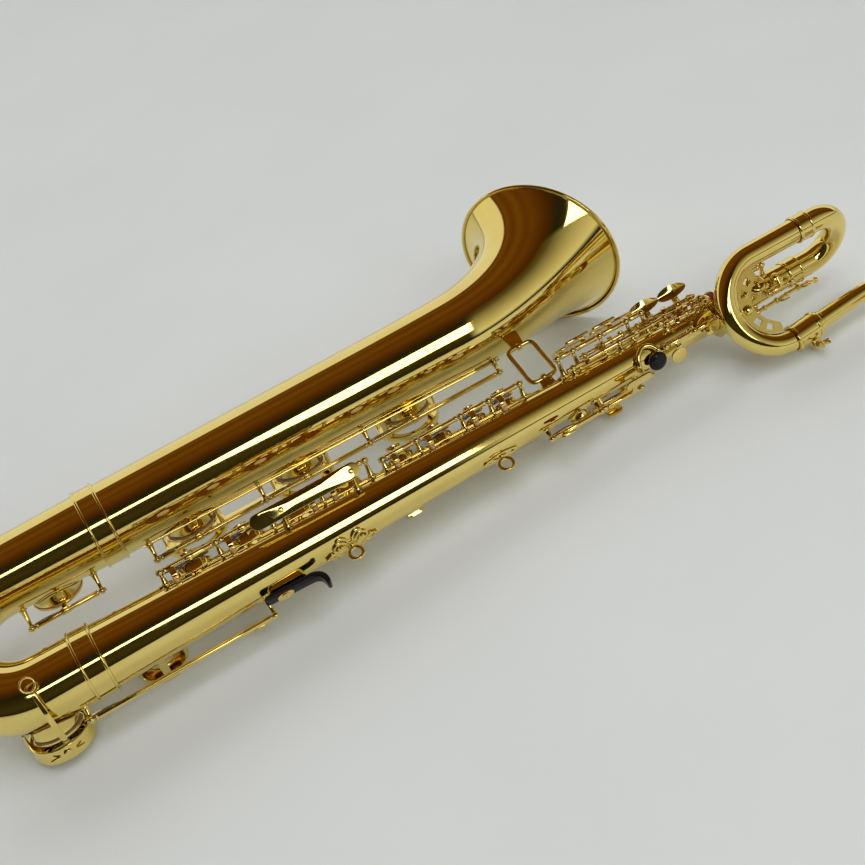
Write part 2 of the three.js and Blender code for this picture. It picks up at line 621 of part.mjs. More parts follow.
function makeNeck() {
  const tenon = 10.6;
  const tenonLength = 21;
  const end = neckRoute.length;
  const steps = 8;
  const outer = [[tenon, -tenonLength], [tenon, 0.5], [NECK_R_LOW + 2.2, 0.5], [NECK_R_LOW + 2.2, 4], [NECK_R_LOW, 5]];
  const inner = [[tenon - WALL, -tenonLength], [NECK_R_LOW - WALL, 5]];
  for (let i = 0; i <= steps; i += 1) {
    const s = mix(NECK_STRAIGHT - 4, end, i / steps);
    outer.push([neckRadius(s), s]);
    inner.push([neckRadius(s) - WALL, s]);
  }
  const profile = [...outer, ...inner.reverse()];
  profile.push(profile[0]);
  const mesh = meshOf('neck', bentRevolve(profile, neckRoute, 10), lacquer);
  const pivot = receiverFrame.p;
  mesh.geometry.translate(-pivot.x, -pivot.y, -pivot.z);
  mesh.position.copy(pivot);
  mesh.userData.joint = { type: 'hinge', axis: receiverFrame.t.toArray(), range: [-60, 60], friction: true };
  const corkFrom = end - 36;
  const sleeveProfile = [];
  for (const s of [corkFrom, corkFrom + 1.5, end - 1.5]) sleeveProfile.push([neckRadius(s) + (s === corkFrom ? 1.2 : 2.2), s]);
  sleeveProfile.push([neckRadius(end) + 1.4, end - 0.4], [neckRadius(end) + GAP, end - 0.4]);
  sleeveProfile.push([neckRadius(corkFrom) + GAP, corkFrom], sleeveProfile[0]);
  const corkMesh = meshOf('neck_cork', bentRevolve(sleeveProfile, neckRoute, 10), cork);
  corkMesh.geometry.translate(-pivot.x, -pivot.y, -pivot.z);
  corkMesh.position.copy(pivot);
  corkMesh.userData.body = 'neck';
}

// ---------------------------------------------------------------- fixed trim
function makeBellBrace() {
  const zPlane = 12;
  const corners = [[506, 31], [512, 25], [528, 25], [535, 31], [535, 66], [528, 73], [512, 73], [506, 66]];
  const loop = wire(corners.map(([x, y]) => v3(x, y, zPlane)), 2.4, 16, true, 3);
  const bodyFoot = barBetween(v3(520, 8, 6), v3(520, 25, zPlane), 16, 5);
  const bellFoot = barBetween(v3(520, 72, zPlane), v3(520, 112, zPlane), 16, 5);
  const solid = join([loop, bodyFoot, bellFoot]).subtract(clearBody).subtract(clearBell);
  meshOf('bell_brace', largest(solid), lacquer);
}

// The biggest of the separate solids that a trim may leave.
function largest(solid) {
  return solid.decompose().reduce((best, item) => (item.volume() > best.volume() ? item : best));
}

// Crescent plate inside the lower turn, held to the body tube by a post.
function makeCrookBrace() {
  const frame = crookRoute.at(CROOK_LEG);
  const outward = awayFromLoop.clone();
  const centre = frame.p.clone().addScaledVector(outward, crookTurnRadius);
  const normal = X_AXIS.clone().cross(outward).normalize();
  if (normal.y < 0) normal.negate();
  const inner = 21;
  const outer = crookTurnRadius - CROOK_R + 1;
  const shape = new THREE.Shape();
  const spread = 84 * DEG;
  shape.absarc(0, 0, outer, Math.PI - spread, Math.PI + spread, false);
  shape.absarc(0, 0, inner, Math.PI + spread, Math.PI - spread, true);
  const crescent = plate(shape, 2.4, 5).translate(0, 0, -1.2);
  const basis = new THREE.Matrix4().makeBasis(X_AXIS, normal.clone().cross(X_AXIS).normalize(), normal);
  crescent.applyMatrix4(basis.setPosition(centre));
  const post = centre.clone().addScaledVector(X_AXIS, -28);
  const foot = v3(post.x, 0, 0);
  const solid = join([crescent, cylinderBetween(post.clone().addScaledVector(normal, -3), foot, 3, 8)])
    .subtract(clearBody).subtract(clearCrook);
  meshOf('crook_brace', largest(solid), lacquer);
}

function makeCollar() {
  const r = bodyRadius(706) + GAP + 0.1;
  const profile = [[r, 706], [24, 706], [24, 708], [r + 3, 708.6], [r + 3, 714.4], [24, 715], [24, 717], [r, 717], [r, 706]];
  meshOf('body_collar', bentRevolve(profile, bodyRoute, 16), lacquer);
}

function strapRing(name, x, baseLength, ringRadius, wireRadius) {
  const surface = TUBES.body.radius(x);
  const ring = new THREE.TorusGeometry(ringRadius, wireRadius, 5, 11).rotateX(Math.PI / 2)
    .translate(x, 0, surface + 2 + ringRadius + wireRadius);
  const base = plate(roundedSlab(baseLength, 12, 5.9), 5, 2).translate(x, 0, surface - 2.6);
  const stem = cylinderBetween(v3(x, 0, surface), v3(x, 0, surface + 4.4), 3.2, 8);
  const solid = join([ring, base, stem]).transform([...keyFrame('body', 180).matrix.elements]).subtract(clearBody);
  return meshOf(name, largest(solid), lacquer);
}

function makeThumbRest() {
  const surface = TUBES.body.radius(625);
  const rest = turned([[0, 0], [5, 0], [5, 6.5], [10, 6.5], [10, 9], [7, 11.4], [0, 12.4]],
    v3(625, 0, surface - 3), Z_AXIS, 10);
  const solid = solidOf(rest).transform([...keyFrame('body', 157).matrix.elements]).subtract(clearBody);
  meshOf('thumb_rest', largest(solid), plastic);
}

const HOOK_X = 197;

function makeThumbHook() {
  const surface = TUBES.body.radius(HOOK_X);
  const frame = keyFrame('body', 180);
  const base = plate(roundedSlab(40, 16, 7.9), 6, 3).translate(HOOK_X, 0, surface - 2);
  const solid = solidOf(base).transform([...frame.matrix.elements]).subtract(clearBody);
  meshOf('thumb_hook_plate', largest(solid), lacquer);
  const bottom = surface + 4 + GAP;
  const side = new THREE.Shape();
  side.moveTo(-30, 0);
  side.lineTo(26, 0);
  side.quadraticCurveTo(33, 2, 34, 14);
  side.quadraticCurveTo(34, 22, 31, 23);
  side.quadraticCurveTo(27, 22, 27, 14);
  side.quadraticCurveTo(26, 8.5, 20, 8);
  side.lineTo(-24, 6);
  side.quadraticCurveTo(-30, 5, -30, 0);
  const hook = plate(side, 14, 3).translate(0, 0, -7).rotateX(Math.PI / 2);
  const mesh = meshOf('thumb_hook', hook, plastic, frame);
  mesh.position.set(HOOK_X + 3, 0, bottom);
  mesh.userData.joint = { type: 'slide', axis: [1, 0, 0], range: [-4, 4], friction: true };
}

// Long plate beside the lower stack, on two posts.
// Long plate on two posts that keeps clothing off the rods, tilted back over the body tube.
function makeClothesGuard() {
  const frame = keyFrame('body', 70);
  const [x, height, tilt] = [250, 49, 55];
  const slab = plate(roundedSlab(116, 16, 7.9), 2.6, 4).rotateX(tilt * DEG).translate(x, 0, height);
  const posts = [224, 299].map((at) => cylinderBetween(v3(at, 0, 20), v3(at, 0, height + 1), 2.4, 8));
  const solid = join([slab, ...posts]).transform([...frame.matrix.elements]).subtract(clearBody);
  meshOf('clothes_guard', largest(solid), lacquer);
}

// Ring with a middle bar above a pad cup, on legs that reach the tube.
function padGuard(spec, name, clear, legAngles, twin) {
  const shapes = guardShapes(spec, legAngles);
  if (twin) {
    const [a, b] = [guardHeight(spec), guardHeight(twin)];
    shapes.push(...guardShapes(twin, legAngles));
    shapes.push(barBetween(v3(spec.x + spec.hole + 2, 0, a + 1.6), v3(twin.x - twin.hole - 2, 0, b + 1.6), 12, 2.6, Y_AXIS));
  }
  const solid = join(shapes).transform([...keyFrame(spec.tube, spec.theta).matrix.elements]).subtract(clear);
  meshOf(name, largest(solid), lacquer);
}

function guardHeight(spec) {
  const cupR = spec.hole + CUP_EDGE;
  const lift = (Math.abs(spec.hingeY) + cupR) * Math.sin(spec.travel * DEG);
  return holeTop(spec) + CUP_HEIGHT + lift + 3.2;
}

function guardShapes(spec, legAngles) {
  const cupR = spec.hole + CUP_EDGE;
  const height = guardHeight(spec);
  const r = cupR + 4;
  const band = turned([[r - 1, -3], [r + 1.6, -3], [r + 1.6, 3], [r - 8, 3], [r - 8, 0.8], [r - 1, 0.8], [r - 1, -3]],
    v3(spec.x, 0, height), Z_AXIS, 12);
  const bars = [barBetween(v3(spec.x - r + 4, 0, height + 1.9), v3(spec.x + r - 4, 0, height + 1.9), 9, 2.2, Y_AXIS)];
  const legs = legAngles.map((angle) => {
    const [dx, dy] = [Math.cos(angle * DEG) * (r + 0.3), Math.sin(angle * DEG) * (r + 0.3)];
    const inward = v3(spec.x + dx, dy, spec.tube === 'bell' ? 24 : 12);
    const sideways = v3(-Math.sin(angle * DEG), Math.cos(angle * DEG), 0);
    return barBetween(v3(spec.x + dx, dy, height), inward, 7, 2.4, sideways);
  });
  return [band, ...bars, ...legs];
}

// ---------------------------------------------------------------- ribs
function makeRibs() {
  rib('lower_stack_rib', 'body', STACK_THETA, [-24, 36.5], [100, 158, 213, 266, 318], bodyRoom);
  rib('upper_stack_rib', 'body', STACK_THETA, [-20, 29.8], [334, 372, 422, 454, 490], bodyRoom);
  rib('table_rib', 'body', 20, [-20, 34], [536, 554, 586, 618, 636], bodyRoom);
  rib('low_e_flat_rib', 'body', -88, [-27, 38], [32, 180], bodyRoom);
  rib('bell_rib', 'bell', -115, [34, 46], [104, 225, 345, 500], bellRoom);
}

// ---------------------------------------------------------------- moving keys
function makeKeys() {
  const onCup = (spec) => pearl(spec.x, 0, holeTop(spec) + GAP + CUP_HEIGHT + 1.2);
  for (const spec of [KEYS.d, KEYS.e, KEYS.f, KEYS.g, KEYS.a, KEYS.b]) padKey(spec, [onCup(spec)]);
  padKey(KEYS.bis, [pearl(KEYS.bis.x, 0, holeTop(KEYS.bis) + GAP + CUP_HEIGHT + 1.2, 5.5)]);
  padKey({ ...KEYS.fSharp, couples: 'key_f' });
  padKey({ ...KEYS.gSharp, couples: 'g_sharp_lever' });
  padKey(KEYS.sideBFlat, [touchPlate(KEYS.sideBFlat, 346, 19, 37, 20, 12)]);
  padKey(KEYS.sideC, [touchPlate(KEYS.sideC, 506, 28, 27, 18, 10)]);
  padKey(KEYS.highE, [touchPlate(KEYS.highE, 570, 27, 25, 18, 10)]);
  padKey(KEYS.palmD, [touchPlate(KEYS.palmD, 650, -28, 31, 22, 10)]);
  padKey(KEYS.palmEFlat, [touchPlate(KEYS.palmEFlat, 684, -28, 31, 22, 10)]);
  padKey(KEYS.palmF, [touchPlate(KEYS.palmF, 740, 27, 27, 20, 10)]);
  padKey({ ...KEYS.octaveVent, couples: 'octave_lever' });
  padKey({ ...KEYS.upperOctave, couples: 'octave_lever' });
  padKey(KEYS.lowEFlat, [touchPlate(KEYS.lowEFlat, 150, -40, 41, 24, 12)]);
  padKey(KEYS.lowC, [touchPlate(KEYS.lowC, 158, 2, 46, 20, 14)]);
  padKey({ ...KEYS.lowCSharp, couples: 'c_sharp_lever' });
  padKey({ ...KEYS.lowB, couples: 'b_lever' });
  padKey({ ...KEYS.lowBFlat, couples: 'b_flat_lever' });
  padKey({ ...KEYS.lowA, couples: 'low_a_lever' });
}

// Finger plate at (x, y, z) of the key frame with an arm to the barrel.
function touchPlate(spec, x, y, z, length, width) {
  const slab = plate(roundedSlab(length, width, Math.min(length, width) / 2 - 0.1), 2.2, 1).translate(x, y, z);
  const arm = barBetween(v3(x, spec.hingeY, spec.hingeZ), v3(x, y, z + 1), 6, 2.6);
  return join([slab, arm]);
}

function makeLevers() {
  const table = { tube: 'body', theta: 20, hingeY: -20, hingeZ: 34, travel: 9, pressTurn: -1 };
  const lever = (name, from, to, armX, plateX, plateY, length, width) => {
    const spec = { ...table, name, barrel: [from, to] };
    const top = 45;
    hingedKey(spec, [
      barrel(from, to, spec.hingeY, spec.hingeZ),
      barBetween(v3(armX, spec.hingeY, spec.hingeZ + 1), v3(armX, plateY, top + 1), 6, 2.6),
      plate(roundedSlab(length, width, 2.4), 2.4, 1).translate(plateX, plateY, top),
    ]);
  };
  lever('b_lever', 540, 550, 545, 564, 11, 40, 13);
  lever('g_sharp_lever', 558, 582, 570, 570, -4.5, 28, 10.5);
  lever('c_sharp_lever', 590, 614, 602, 602, -4.5, 28, 10.5);
  lever('b_flat_lever', 622, 632, 627, 608, 11, 40, 13);
  const thumb = { tube: 'body', theta: 157, hingeY: 10, hingeZ: 22, travel: 10, pressTurn: 1 };
  hingedKey({ ...thumb, name: 'octave_lever', barrel: [642, 668] }, [
    barrel(642, 668, 10, 22),
    barBetween(v3(650, 10, 23.5), v3(650, -4, 26), 7, 2.6),
    plate(roundedSlab(18, 16, 7.9), 2.2, 2).translate(648, -4, 25),
  ]);
  const lowA = { tube: 'body', theta: 180, hingeY: -9, hingeZ: 28, travel: 10, pressTurn: -1 };
  hingedKey({ ...lowA, name: 'low_a_lever', barrel: [560, 596] }, [
    barrel(560, 596, -9, 28),
    barBetween(v3(590, -9, 29), v3(590, 6, 30), 6, 2.6),
    plate(roundedSlab(30, 12, 5.9), 2.2, 2).translate(596, 8, 28.6),
  ]);
}

// ---------------------------------------------------------------- assembly
makeTubes();
makeSleeves();
makeReceiver();
makeNeck();
makeBellBrace();
makeCrookBrace();
makeCollar();
strapRing('upper_strap_ring', 438, 40, 6.9, 1.8);
strapRing('lower_strap_ring', 268, 48, 6.5, 1.8);
makeThumbRest();
makeThumbHook();
makeClothesGuard();
padGuard(KEYS.lowC, 'low_c_guard', clearBow.add(clearBody), [322, 180, 250]);
padGuard(KEYS.lowEFlat, 'low_e_flat_guard', clearBody, [28, 90, 152]);
padGuard(KEYS.lowB, 'bell_key_guard', clearBell, [28, 180, 332], KEYS.lowBFlat);
padGuard(KEYS.lowA, 'low_a_guard', clearBell, [0, 152, 208]);
makeRibs();
makeKeys();
makeLevers();

const lying = new THREE.Group();
lying.add(instrument);
lying.rotation.set(REST_ROLL * DEG, REST_PITCH * DEG, 0);
lying.position.set(REST_SHIFT_X, REST_SHIFT_Y, REST_LIFT);
const group = new THREE.Group();
group.add(lying);
export default group;
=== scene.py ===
import math

import bmesh
import bpy
import numpy as np
from mathutils import Matrix, Vector


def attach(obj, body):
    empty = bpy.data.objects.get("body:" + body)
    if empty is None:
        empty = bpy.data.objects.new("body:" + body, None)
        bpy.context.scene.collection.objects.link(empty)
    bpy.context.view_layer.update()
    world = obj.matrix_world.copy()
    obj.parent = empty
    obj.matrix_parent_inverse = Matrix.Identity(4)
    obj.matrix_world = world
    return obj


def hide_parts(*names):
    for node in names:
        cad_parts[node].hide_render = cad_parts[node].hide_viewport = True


# Baritone saxophone. Shapes are written in millimetres in the instrument frame of the CAD part:
# +X up the body tube, +Y from the body tube to the bell tube, +Z to the left hand side.
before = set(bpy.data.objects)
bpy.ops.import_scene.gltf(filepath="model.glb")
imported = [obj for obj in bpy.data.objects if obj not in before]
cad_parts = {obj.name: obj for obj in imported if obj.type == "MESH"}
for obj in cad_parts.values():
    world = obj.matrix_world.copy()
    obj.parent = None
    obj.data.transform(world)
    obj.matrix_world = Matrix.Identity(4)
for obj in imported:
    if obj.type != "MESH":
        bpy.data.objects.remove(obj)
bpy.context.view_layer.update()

# ---------------------------------------------------------------- sizes shared with the CAD part
GAP = 0.3
WALL = 1.2
BODY_LENGTH = 810.0
BODY_R_LOW, BODY_R_HIGH = 32.8, 13.0
BELL_OFFSET = 133.0
BOW_STRAIGHT = 37.5
BELL_START = 62.0
BELL_R_LOW, BELL_R_HIGH = 38.8, 42.0
BELL_STRAIGHT = 412.0
BELL_BEND_RADIUS, BELL_BEND, BELL_SWING = 218.0, 41.4, -14.8
RIM_RADIUS = 88.0
FLARE_START, FLARE_SHARPNESS = 330.0, 5.2
UPPER_BOW_LEG, UPPER_BOW_Y, UPPER_BOW_Z = 20.0, 3.3, 60.4
CROOK_R, CROOK_END_R, CROOK_LEG = 12.4, 10.8, 60.0
CROOK_END_Y, CROOK_END_Z, CROOK_TURN = -74.0, 6.0, 184.0
RECEIVER_LENGTH = 26.0
NECK_STRAIGHT, NECK_TURN, NECK_TURN_RADIUS, NECK_END_LEG = 60.0, 98.0, 50.0, 46.0
NECK_R_LOW, NECK_R_END = 9.8, 7.2
CHIMNEY = 4.0
CUP_EDGE, CUP_HEIGHT = 1.6, 5.0
BARREL_R = 2.7
POST_R = 3.5
REST_ROLL, REST_PITCH = math.radians(18.32), math.radians(1.81)
REST_SHIFT = np.array([-380.632, -46.743, 62.97])

ON_AXIS = 1e-6

X = np.array([1.0, 0, 0])
Y = np.array([0, 1.0, 0])
Z = np.array([0, 0, 1.0])


def vec(*a):
    return np.array(a, float)


def unit(v):
    v = np.asarray(v, float)
    return v / np.linalg.norm(v)


def spin(axis, angle):
    """Rotation matrix about an axis, angle in radians."""
    a = unit(axis)
    k = np.array([[0, -a[2], a[1]], [a[2], 0, -a[0]], [-a[1], a[0], 0]])
    return np.eye(3) + math.sin(angle) * k + (1 - math.cos(angle)) * (k @ k)


LYING = spin(X, REST_ROLL) @ spin(Y, REST_PITCH)


def to_world(v):
    return (np.asarray(v, float) @ LYING.T + REST_SHIFT) * 0.001


def mix(a, b, u):
    return a + (b - a) * u


# ---------------------------------------------------------------- shapes: (vertices, faces)
def merge(shapes):
    verts, faces, base = [], [], 0
    for v, f in shapes:
        verts.append(v)
        faces += [tuple(i + base for i in face) for face in f]
        base += len(v)
    return np.vstack(verts), faces


def moved(shape, matrix=None, offset=(0, 0, 0)):
    v, f = shape
    if matrix is not None:
        v = v @ np.asarray(matrix).T
    return v + np.asarray(offset, float), f


def loft(rows, close=False, caps=(None, None)):
    """Skin over rings of equal length. caps gives the pole point at each end, or None."""
    rows = np.asarray(rows, float)
    m, n = rows.shape[:2]
    verts = rows.reshape(-1, 3)
    faces = []
    for i in range(m if close else m - 1):
        a, b = i * n, ((i + 1) % m) * n
        faces += [(a + j, a + (j + 1) % n, b + (j + 1) % n, b + j) for j in range(n)]
    for end, pole in enumerate(caps):
        if pole is None:
            continue
        k = len(verts)
        verts = np.vstack([verts, [pole]])
        a = 0 if end == 0 else (m - 1) * n
        ring = [(k, a + (j + 1) % n, a + j) if end == 0 else (k, a + j, a + (j + 1) % n) for j in range(n)]
        faces += ring
    return verts, faces


def soften(profile, radius=0.4, steps=3):
    """Rounds the inner corners of an open profile."""
    p = [np.asarray(q, float) for q in profile]
    out = [p[0]]
    for i in range(1, len(p) - 1):
        a, b, c = p[i - 1], p[i], p[i + 1]
        ra = min(radius, np.linalg.norm(a - b) * 0.45)
        rc = min(radius, np.linalg.norm(c - b) * 0.45)
        if ra < 1e-6 or rc < 1e-6:
            out.append(b)
            continue
        s, e = b + unit(a - b) * ra, b + unit(c - b) * rc
        out += [(1 - t) ** 2 * s + 2 * t * (1 - t) * b + t * t * e for t in np.linspace(0, 1, steps + 1)]
    out.append(p[-1])
    return out


def soften_loop(profile, radius=0.4, steps=3):
    p = list(profile)
    start = (np.asarray(p[0], float) + np.asarray(p[1], float)) / 2
    return soften([start, *p[1:], p[0], start], radius, steps)[:-1]


def circle(n):
    a = np.linspace(0, 2 * math.pi, n, endpoint=False)
    return np.cos(a), np.sin(a)


def basis_for(direction):
    d = unit(direction)
    helper = X if abs(d[0]) < 0.9 else Y
    a = unit(np.cross(helper, d))
    return a, np.cross(d, a), d


def split_poles(profile):
    """Takes the points on the axis off a profile's ends: gives the rest, and their heights or None."""
    points, poles = list(profile), [None, None]
    for end in (0, -1):
        if points[end][0] < ON_AXIS:
            poles[end] = points.pop(end)[1]
    return points, poles


def turned(profile, at, direction, n=40):
    """Turned shape of (radius, height) points, from the axis back to the axis or closed."""
    a, b, d = basis_for(direction)
    c, s = circle(n)
    at = np.asarray(at, float)
    points, poles = split_poles(profile)
    caps = [None if pole is None else at + d * pole for pole in poles]
    rows = [at + d * h + r * (np.outer(c, a) + np.outer(s, b)) for r, h in points]
    return loft(rows, close=poles == [None, None], caps=caps)


def rod(a, b, r, n=20, edge=0.35):
    a, b = np.asarray(a, float), np.asarray(b, float)
    length = np.linalg.norm(b - a)
    edge = min(edge, length * 0.3, r * 0.6)
    profile = [(0, 0), (r - edge, 0), (r - edge * 0.3, edge * 0.3), (r, edge), (r, length - edge),
               (r - edge * 0.3, length - edge * 0.3), (r - edge, length), (0, length)]
    return turned(profile, a, b - a, n)


def ball(at, r, n=20, squash=1.0, direction=(0, 0, 1)):
    profile = [(math.sin(t) * r, -math.cos(t) * r * squash) for t in np.linspace(0, math.pi, n // 2 + 1)]
    profile[0], profile[-1] = (0, -r * squash), (0, r * squash)
    return turned(profile, at, direction, n)


def outline_rounded(length, width, corner, steps=7):
    """Rounded rectangle about the origin."""
    pts = []
    for cx, cy, start in ((1, 1, 0), (-1, 1, 90), (-1, -1, 180), (1, -1, 270)):
        for t in np.radians(np.linspace(start, start + 90, steps + 1)):
            pts.append((cx * (length / 2 - corner) + corner * math.cos(t),
                        cy * (width / 2 - corner) + corner * math.sin(t)))
    return np.array(pts)


def section(width, thickness, corner=0.6, steps=4):
    """Cross-section of a strap."""
    return outline_rounded(width, thickness, min(corner, width * 0.49, thickness * 0.49), steps)


def sweep(path, shape2d, side_dir=None, scale=None, closed=False):
    """Section carried along a path. shape2d first axis follows side_dir."""
    path = np.asarray(path, float)
    k = len(path)
    tangents = np.roll(path, -1, 0) - np.roll(path, 1, 0) if closed else np.gradient(path, axis=0)
    tangents /= np.linalg.norm(tangents, axis=1)[:, None]
    rows = []
    side = None
    for i in range(k):
        t = tangents[i]
        if side_dir is not None:
            wanted = side_dir[i] if np.ndim(side_dir) == 2 else np.asarray(side_dir, float)
            side = unit(wanted - t * (wanted @ t))
        elif side is None:
            side = basis_for(t)[0]
        else:
            side = unit(side - t * (side @ t))
        up = np.cross(t, side)
        sx, sy = (1, 1) if scale is None else (scale[i] if np.ndim(scale[i]) else (scale[i], scale[i]))
        rows.append(path[i] + np.outer(shape2d[:, 0] * sx, side) + np.outer(shape2d[:, 1] * sy, up))
    if closed:
        return loft(rows, close=True)
    return loft(rows, caps=(path[0], path[-1]))


def spline(points, per=8, closed=False):
    """Smooth curve through points."""
    p = np.asarray(points, float)
    n = len(p)
    out = []
    for i in range(n if closed else n - 1):
        if closed:
            a, b, c, d = p[(i - 1) % n], p[i], p[(i + 1) % n], p[(i + 2) % n]
        else:
            b, c = p[i], p[i + 1]
            a = p[i - 1] if i else 2 * b - c
            d = p[i + 2] if i + 2 < n else 2 * c - b
        for t in np.linspace(0, 1, per, endpoint=False):
            out.append(0.5 * (2 * b + (c - a) * t + (2 * a - 5 * b + 4 * c - d) * t ** 2
                              + (3 * b - a - 3 * c + d) * t ** 3))
    if not closed:
        out.append(p[-1])
    return np.array(out)


def wire(points, r, per=8, closed=False, n=14, smooth=True):
    path = spline(points, per, closed) if smooth else np.asarray(points, float)
    c, s = circle(n)
    return sweep(path, np.stack([c, s], 1) * r, closed=closed)


def bar(a, b, width, thickness, side=X, corner=0.7, crown=0.0):
    """Flat bar with softened edges and ends."""
    a, b = np.asarray(a, float), np.asarray(b, float)
    length = np.linalg.norm(b - a)
    d = (b - a) / length
    e = min(0.5, length * 0.2)
    spots = [0, e * 0.35, e, length - e, length - e * 0.35, length]
    grow = [0.82, 0.95, 1, 1, 0.95, 0.82]
    if crown:
        spots = [*spots[:3], *np.linspace(e * 2, length - e * 2, 6), *spots[3:]]
        grow = [*grow[:3], *[1] * 6, *grow[3:]]
    path = [a + d * s for s in spots]
    return sweep(path, section(width, thickness, corner), side, grow)


def inset(outline, by):
    """Moves a counter-clockwise outline inwards."""
    p = np.asarray(outline, float)
    a = p - np.roll(p, 1, 0)
    b = np.roll(p, -1, 0) - p
    na = np.stack([-a[:, 1], a[:, 0]], 1) / np.maximum(np.linalg.norm(a, axis=1), 1e-9)[:, None]
    nb = np.stack([-b[:, 1], b[:, 0]], 1) / np.maximum(np.linalg.norm(b, axis=1), 1e-9)[:, None]
    n = na + nb
    n /= np.maximum(np.linalg.norm(n, axis=1), 1e-9)[:, None]
    return p + n * by


def slab(outline, z0, z1, edge=0.4, dome=0.0, bend=None):
    """Plate cut from an outline, with softened edges and an optional crown."""
    outline = np.asarray(outline, float)
    centre = outline.mean(0)
    rows = []
    layers = [(inset(outline, edge), z0), (inset(outline, edge * 0.3), z0 + edge * 0.3),
              (outline, z0 + edge), (outline, z1 - edge), (inset(outline, edge * 0.3), z1 - edge * 0.3)]
    top = inset(outline, edge)
    for u in (1.0, 0.85, 0.65, 0.4, 0.2):
        layers.append((centre + (top - centre) * u, z1 + dome * (1 - u * u)))
    for ring, z in layers:
        rows.append(np.column_stack([ring, np.full(len(ring), z)]))
    shape = loft(rows, caps=(vec(*centre, z0), vec(*centre, z1 + dome)))
    if bend is not None:
        shape = (bend(shape[0]), shape[1])
    return shape


# ---------------------------------------------------------------- routes of the air column
class Route:
    """Chain of straight and circular legs. at(s) gives point, tangent and normal."""

    def __init__(self, start, tangent, normal, pieces):
        self.legs = []
        p, t, n, s = np.asarray(start, float), unit(tangent), unit(normal), 0.0
        for piece in pieces:
            leg = {"p": p, "t": t, "n": n, "s": s, **piece}
            self.legs.append(leg)
            p, t, n = self._on(leg, piece["length"])
            s += piece["length"]
        self.length = s

    @staticmethod
    def _on(leg, distance):
        if "radius" not in leg:
            return leg["p"] + leg["t"] * distance, leg["t"], leg["n"]
        angle = distance / leg["radius"]
        turn_matrix = spin(leg["axis"], angle)
        centre = leg["p"] + np.cross(leg["axis"], leg["t"]) * leg["radius"]
        return centre + turn_matrix @ (leg["p"] - centre), turn_matrix @ leg["t"], turn_matrix @ leg["n"]

    def at(self, u):
        leg = self.legs[0]
        for nxt in self.legs:
            if u >= nxt["s"]:
                leg = nxt
        return self._on(leg, u - leg["s"])


def straight(length):
    return {"length": length}


def turn(tangent, toward, degrees, radius):
    return {"length": math.radians(degrees) * radius, "radius": radius,
            "axis": unit(np.cross(tangent, toward))}


def ring_on(route, s, r, n):
    p, t, nrm = route.at(s)
    side = np.cross(nrm, t)
    c, q = circle(n)
    return p + r * (np.outer(q, nrm) + np.outer(c, side))


def bent(profile, route, n=96):
    """Profile of (radius, distance) points revolved and bent along a route."""
    return loft([ring_on(route, s, r, n) for r, s in profile], close=True)


def tube(route, stations, radius_at, n, wall=WALL):
    outer = [(radius_at(s), s) for s in stations]
    inner = [(radius_at(s) - wall, s) for s in stations]
    return bent([*outer, *reversed(inner)], route, n)


def stations(a, b, step):
    return np.linspace(a, b, max(2, int(math.ceil((b - a) / step)) + 1))


def body_radius(x):
    return mix(BODY_R_LOW, BODY_R_HIGH, x / BODY_LENGTH)


body_route = Route((0, 0, 0), X, Z, [straight(BODY_LENGTH)])
bow_turn = BELL_OFFSET / 2
bow_route = Route((0, 0, 0), -X, Z, [straight(BOW_STRAIGHT), turn(-X, Y, 180, bow_turn),
                                     straight(BOW_STRAIGHT + BELL_START)])


def bow_radius(s):
    return mix(BODY_R_LOW, BELL_R_LOW, s / bow_route.length)


swing = vec(0, math.cos(math.radians(BELL_SWING)), math.sin(math.radians(BELL_SWING)))
bell_route = Route((BELL_START, BELL_OFFSET, 0), X, Z, [straight(BELL_STRAIGHT),
                                                        turn(X, swing, BELL_BEND, BELL_BEND_RADIUS)])


def bell_radius(s):
    base = mix(BELL_R_LOW, BELL_R_HIGH, min(1.0, s / BELL_STRAIGHT))
    opened = max(0.0, (s - FLARE_START) / (bell_route.length - FLARE_START))
    flare = (math.exp(FLARE_SHARPNESS * opened) - 1) / (math.exp(FLARE_SHARPNESS) - 1)
    return mix(base, RIM_RADIUS, flare)


upper_side = unit(vec(0, UPPER_BOW_Y, UPPER_BOW_Z))
upper_route = Route((BODY_LENGTH, 0, 0), X, Y, [
    straight(UPPER_BOW_LEG), turn(X, upper_side, 180, math.hypot(UPPER_BOW_Y, UPPER_BOW_Z) / 2),
    straight(UPPER_BOW_LEG)])


def upper_radius(s):
    return mix(BODY_R_HIGH, CROOK_R, s / upper_route.length)


crook_side = vec(0, CROOK_END_Y - UPPER_BOW_Y, CROOK_END_Z - UPPER_BOW_Z)
crook_turn_radius = np.linalg.norm(crook_side) / 2
crook_route = Route((BODY_LENGTH, UPPER_BOW_Y, UPPER_BOW_Z), -X, Y, [
    straight(CROOK_LEG), turn(-X, crook_side, CROOK_TURN, crook_turn_radius), straight(RECEIVER_LENGTH)])
crook_end = crook_route.length - RECEIVER_LENGTH


def crook_radius(s):
    return mix(CROOK_R, CROOK_END_R, s / crook_route.length)


neck_p, neck_t, neck_n = crook_route.at(crook_route.length)
neck_route = Route(neck_p, neck_t, neck_n, [
    straight(NECK_STRAIGHT), turn(neck_t, unit(vec(0, -1, 0.15)), NECK_TURN, NECK_TURN_RADIUS),
    straight(NECK_END_LEG)])


def neck_radius(s):
    return mix(NECK_R_LOW, NECK_R_END, max(0.0, s) / neck_route.length)


AXIS_Y = {"body": 0.0, "bell": BELL_OFFSET}


def tube_radius(tube_name, x):
    if tube_name == "body":
        return bow_radius(-x) if x < 0 else body_radius(x)
    if x < BELL_START:
        return bow_radius(bow_route.length - BELL_START + x)
    return bell_radius(x - BELL_START)


